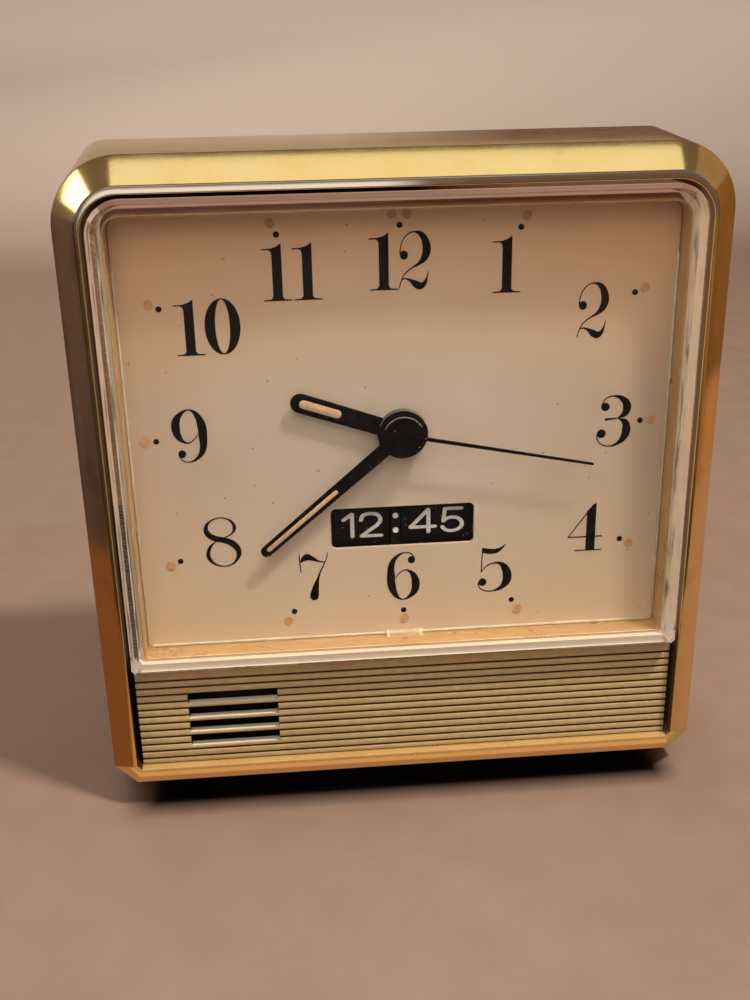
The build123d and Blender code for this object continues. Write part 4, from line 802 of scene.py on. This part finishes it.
# %% Drum figures
drum_y, drum_z, drum_radius = 0.4, 37.35, 10.8
drum_lines = {
    "1": [[(.06, .73), (.30, .93)], [(.32, .93), (.32, .07)]],
    "2": [[(.06, .70), (.13, .87), (.34, .93), (.56, .87), (.64, .70), (.56, .52), (.34, .32), (.08, .08)],
          [(.08, .07), (.66, .07)]],
    "3": [[(.07, .76), (.17, .89), (.34, .93), (.54, .86), (.60, .71), (.52, .57), (.34, .52)],
          [(.34, .52), (.56, .46), (.65, .28), (.55, .12), (.34, .07), (.15, .12), (.06, .26)]],
    "4": [[(.60, .93), (.07, .29)], [(.07, .28), (.80, .28)], [(.61, .93), (.61, .07)]],
    "5": [[(.64, .93), (.14, .93)], [(.14, .93), (.09, .47)],
          [(.09, .47), (.20, .57), (.36, .60), (.56, .53), (.65, .34), (.56, .15), (.36, .07), (.17, .11), (.06, .24)]],
    "6": [[(.60, .80), (.50, .90), (.36, .93), (.17, .80), (.08, .5), (.09, .30), (.20, .12), (.37, .07), (.56, .14),
           (.64, .32), (.56, .50), (.37, .57), (.20, .51), (.10, .36)]],
    "7": [[(.06, .93), (.66, .93)], [(.65, .91), (.46, .60), (.33, .30), (.28, .07)]],
}
drum_loops = {
    "0": [[(.36, .93), (.57, .83), (.65, .5), (.57, .17), (.36, .07), (.15, .17), (.07, .5), (.15, .83)]],
    "8": [[(.36, .93), (.54, .87), (.60, .73), (.53, .59), (.36, .53), (.19, .59), (.12, .73), (.18, .87)],
          [(.36, .53), (.57, .46), (.66, .30), (.57, .13), (.36, .07), (.15, .13), (.06, .30), (.15, .46)]],
}
usual_width, drum_widths = 0.72, {"1": 0.40, "4": 0.85}
line_width, figure_width, figure_height, figure_gap = 0.12, 4.3, 3.55, 0.12


def drum_figure(shape, digit, x):
    """Adds one round-ended figure of height 1 with its left edge at x."""
    part = bmesh.new()
    drawn = "6" if digit == "9" else digit
    for points in drum_lines.get(drawn, []):
        stroke(part, [(px, py, line_width) for px, py in points])
        for px, py in (points[0], points[-1]):
            ball(part, px, py, line_width / 2)
    for points in drum_loops.get(drawn, []):
        stroke(part, [(px, py, line_width) for px, py in points], closed=True)
    if digit == "9":
        bmesh.ops.rotate(part, verts=part.verts, cent=(0.36, 0.5, 0), matrix=Matrix.Rotation(math.pi, 3, "Z"))
    bmesh.ops.translate(part, verts=part.verts, vec=(x, 0, 0))
    gathered(shape, part)


def drum_figures(name, labels, left, right, drop, body):
    """Wraps labels round a drum, the first one in the window and each next one a twelfth of a turn above it."""
    middle_x = (left + right) / 2
    wrapped = bmesh.new()
    for index, text in enumerate(labels):
        part = bmesh.new()
        x = 0.0
        for digit in text:
            drum_figure(part, digit, x)
            x += drum_widths.get(digit, usual_width) + figure_gap
        bmesh.ops.translate(part, verts=part.verts, vec=(-(x - figure_gap) / 2, -0.5, 0))
        bmesh.ops.scale(part, vec=(figure_width, figure_height, 1), verts=part.verts)
        bmesh.ops.subdivide_edges(part, edges=[e for e in part.edges if e.calc_length() > 0.5], cuts=3)
        inked(part, (0, 0, ink_depth))
        for vert in part.verts:
            turn = (vert.co.y - drop) / drum_radius + index * math.pi / 6
            reach = drum_radius + vert.co.z
            vert.co = (middle_x + vert.co.x, drum_y - reach * math.cos(turn), drum_z + reach * math.sin(turn))
        bmesh.ops.recalc_face_normals(part, faces=part.faces)
        gathered(wrapped, part)
    keep(name, wrapped, body, [figure_paint])


hours = ["12"] + [str(h) for h in range(1, 12)]
minutes = [f"{(45 + 5 * step) % 60:02d}" for step in range(12)]
drum_figures("alarm_hour_figures", hours, -7.85, -2.35, -0.06, "alarm_hours")
drum_figures("alarm_minute_figures", minutes, 0.75, 8.1, -0.23, "alarm_minutes")

# %% [markdown]
# The colon between the two drums doesn't turn: its two dots are painted on a bar of the inner frame.

# %% Colon
colon_x, colon_y, colon_radius = -0.85, -10.65, 0.37
colon = bmesh.new()
for z in (-0.7, 1.3):
    dot(colon, colon_x, colon_y, drum_z + z, colon_radius)
inked(colon)
keep("alarm_colon", colon, "case", [figure_paint])

# %% [markdown]
# ## Floor, light and surroundings
# The clock stands on a plain floor that sweeps up behind it, so that no horizon shows. A key light from the
# right and above throws the shadows of the hands, and large soft lights fill in from the front, top and back.

# %% Floor
reach, backdrop_y, sweep_radius = 1.5, 0.9, 0.6
sweep = bmesh.new()
bmesh.ops.create_grid(sweep, x_segments=1, y_segments=1, size=reach)
fold = [e for e in sweep.edges if all(v.co.y > 0 for v in e.verts)]
bmesh.ops.translate(sweep, verts=fold[0].verts[:], vec=(0, backdrop_y - reach, 0))
raised = bmesh.ops.extrude_edge_only(sweep, edges=fold)["geom"]
bmesh.ops.translate(sweep, verts=points_in(raised), vec=(0, 0, reach))
rounded(sweep, fold, sweep_radius, 16)
floor_mesh = bpy.data.meshes.new("floor")
sweep.to_mesh(floor_mesh)
sweep.free()
floor_mesh.shade_smooth()
floor = bpy.data.objects.new("floor", floor_mesh)
bpy.context.scene.collection.objects.link(floor)
ground = finish("floor", (0.255, 0.168, 0.132), (0.285, 0.192, 0.152), (0.5, 0.6), 9.0, relief=0.05)
over(ground, band(ground, 1, 370, 640), (0.98, 0.85, 0.75))
floor_mesh.materials.append(ground)
print("floor has", len(floor_mesh.polygons), "faces")

# %% Lights
warm_light, clock_middle = (1.0, 0.91, 0.80), Vector((0, -10, 40))


def softbox(name, place, size, watts):
    """An area light at a place, in millimetres, that faces the clock and isn't mirrored in it."""
    lamp = bpy.data.lights.new(name, "AREA")
    lamp.shape = "RECTANGLE"
    lamp.size, lamp.size_y = size[0] * MM, size[1] * MM
    lamp.energy, lamp.color = watts, warm_light
    stand = bpy.data.objects.new(name, lamp)
    away = (Vector(place) - clock_middle).normalized()
    stand.matrix_world = Matrix.Translation(Vector(place) * MM) @ away.to_track_quat("Z", "Y").to_matrix().to_4x4()
    stand.visible_glossy = False
    bpy.context.scene.collection.objects.link(stand)
    print(name, "gives", watts, "W")


softbox("key", (236, -180, 590), (55, 55), 3.8)
softbox("fill", (-60, -330, 400), (300, 300), 0.78)
softbox("back_fill", (-130, 430, 340), (300, 300), 0.7)
softbox("overhead", (0, 60, 620), (430, 300), 0.8)

# %% [markdown]
# Polished metal and glass show what stands around them. Cards that only reflections see give each bevel
# something to mirror, as flags and reflectors do in a studio. A bright one hangs over the top bevel and one high
# at the left lights its corner. Cards with faded edges, in front and behind, tint the lip and the crystal. The
# left and right bevels see dark and brown cards, streaked as a room would be, and the bottom bevel sees warm ones
# that lie on the floor. A black one on the floor in front keeps the pane clear.

# %% Cards
def card(name, place, size, turn, colour):
    """A flat card, in millimetres, that only reflections see."""
    shape = bmesh.new()
    bmesh.ops.create_grid(shape, x_segments=1, y_segments=1, size=0.5 * MM)
    bmesh.ops.scale(shape, vec=(*size, 1), verts=shape.verts)
    bmesh.ops.rotate(shape, verts=shape.verts, matrix=Euler([math.radians(a) for a in turn]).to_matrix())
    bmesh.ops.translate(shape, verts=shape.verts, vec=Vector(place) * MM)
    mesh = bpy.data.meshes.new(name)
    shape.to_mesh(mesh)
    shape.free()
    paper = bpy.data.materials.new(name)
    paper.use_nodes = True
    tune(paper, Base_Color=(0, 0, 0, 1), Emission_Color=(*colour, 1), Emission_Strength=1.0)
    mesh.materials.append(paper)
    stand = bpy.data.objects.new(name, mesh)
    bpy.context.scene.collection.objects.link(stand)
    stand.visible_camera = stand.visible_diffuse = stand.visible_shadow = False
    return stand


def faded(stand, *bands):
    """Lets a card fade out along an axis, or along several."""
    paper = stand.data.materials[0]
    mask = band(paper, *bands[0])
    for further in bands[1:]:
        mask = both(paper, mask, band(paper, *further))
    join(paper, mask, shader_of(paper).inputs["Alpha"])


def upper_side_only(stand):
    """Lets a card that lies face down shine from its upper side alone, so that the floor doesn't mirror it."""
    paper = stand.data.materials[0]
    upper_side = node(paper, "ShaderNodeNewGeometry").outputs["Backfacing"]
    join(paper, upper_side, shader_of(paper).inputs["Emission Strength"])


def streaked(stand):
    """Gives a card upright streaks, as a room with things in it would show."""
    paper = stand.data.materials[0]
    streaks = patches(paper, 45, 0.3, 0.7, (1, 1, 0.3), high=1.7)
    join(paper, streaks, shader_of(paper).inputs["Emission Strength"])


flat, face_down, upright, sideways = (0, 0, 0), (180, 0, 0), (90, 0, 0), (0, 90, 0)
card("bright_card", (52, -168, 560), (430, 260), (15, 0, 0), (0.98, 1.02, 1.0))
card("corner_card", (-500, -65, 360), (270, 210), (0, -57, 0), (4.0, 4.0, 3.8))
faded(card("lip_card", (-45, -500, 54), (225, 80), upright, (1.05, 0.97, 0.85)),
      (0, -157, -125), (0, 67, 45), (2, 14, 34), (2, 94, 74))
faded(card("dim_lip_card", (208, -500, 54), (300, 80), upright, (0.15, 0.08, 0.04)),
      (0, 45, 67), (0, 358, 310), (2, 14, 34), (2, 94, 74))
faded(card("brow_card", (-20, -480, 240), (420, 240), upright, (0.50, 0.42, 0.28)),
      (0, -230, -150), (0, 190, 110), (2, 120, 160), (2, 360, 320))
faded(card("rear_card", (215, 500, 130), (380, 140), upright, (0.16, 0.08, 0.05)), (0, 20, 120))
streaked(card("dark_card", (-125, 20, -5), (180, 300), sideways, (0.066, 0.048, 0.07)))
streaked(card("brown_card", (150, 20, -35), (120, 300), sideways, (0.34, 0.17, 0.085)))
streaked(card("umber_card", (150, 20, 68), (86, 300), sideways, (0.15, 0.075, 0.03)))
card("ochre_card", (150, 20, 160), (98, 300), sideways, (0.32, 0.23, 0.17))
card("left_floor_card", (-92, 10, 1), (100, 160), flat, (0.17, 0.06, 0.02))
upper_side_only(card("under_card", (0, -15.7, 1), (90, 5), face_down, (0.66, 0.39, 0.20)))
upper_side_only(card("dim_under_card", (0, -10, 1), (90, 6.4), face_down, (0.36, 0.19, 0.09)))
faded(card("front_floor_card", (-25, -335, 1), (530, 540), flat, (0.012, 0.011, 0.011)), (0, 210, 60))
print("cards stand ready")

# %% [markdown]
# The clock stands on its feet, and almost no light gets under its front edge. A small black flag, which only the
# light meets, keeps the floor there as dark as it is under a heavier case.

# %% Flag under the front edge
flag = card("under_flag", (0, -12, 0.6), (77, 13.4), flat, (0, 0, 0))
faded(flag, (1, -18.6, -14.8), (0, -38.5, -34), (0, 38, 34.5))
flag.visible_diffuse = flag.visible_shadow = True
flag.visible_glossy = flag.visible_transmission = False
print("flag lies", round(flag.data.vertices[0].co.z / MM, 1), "mm over the floor")

# %% [markdown]
# The rest of the room is a dim, warm grey all round. The plain view transform keeps colours as they are set.

# %% Room
world = bpy.data.worlds.new("room")
bpy.context.scene.world = world
world.use_nodes = True
sky = world.node_tree.nodes["Background"].inputs
sky["Color"].default_value = (0.62, 0.53, 0.47, 1)
sky["Strength"].default_value = 0.25
bpy.context.scene.view_settings.view_transform = "Standard"
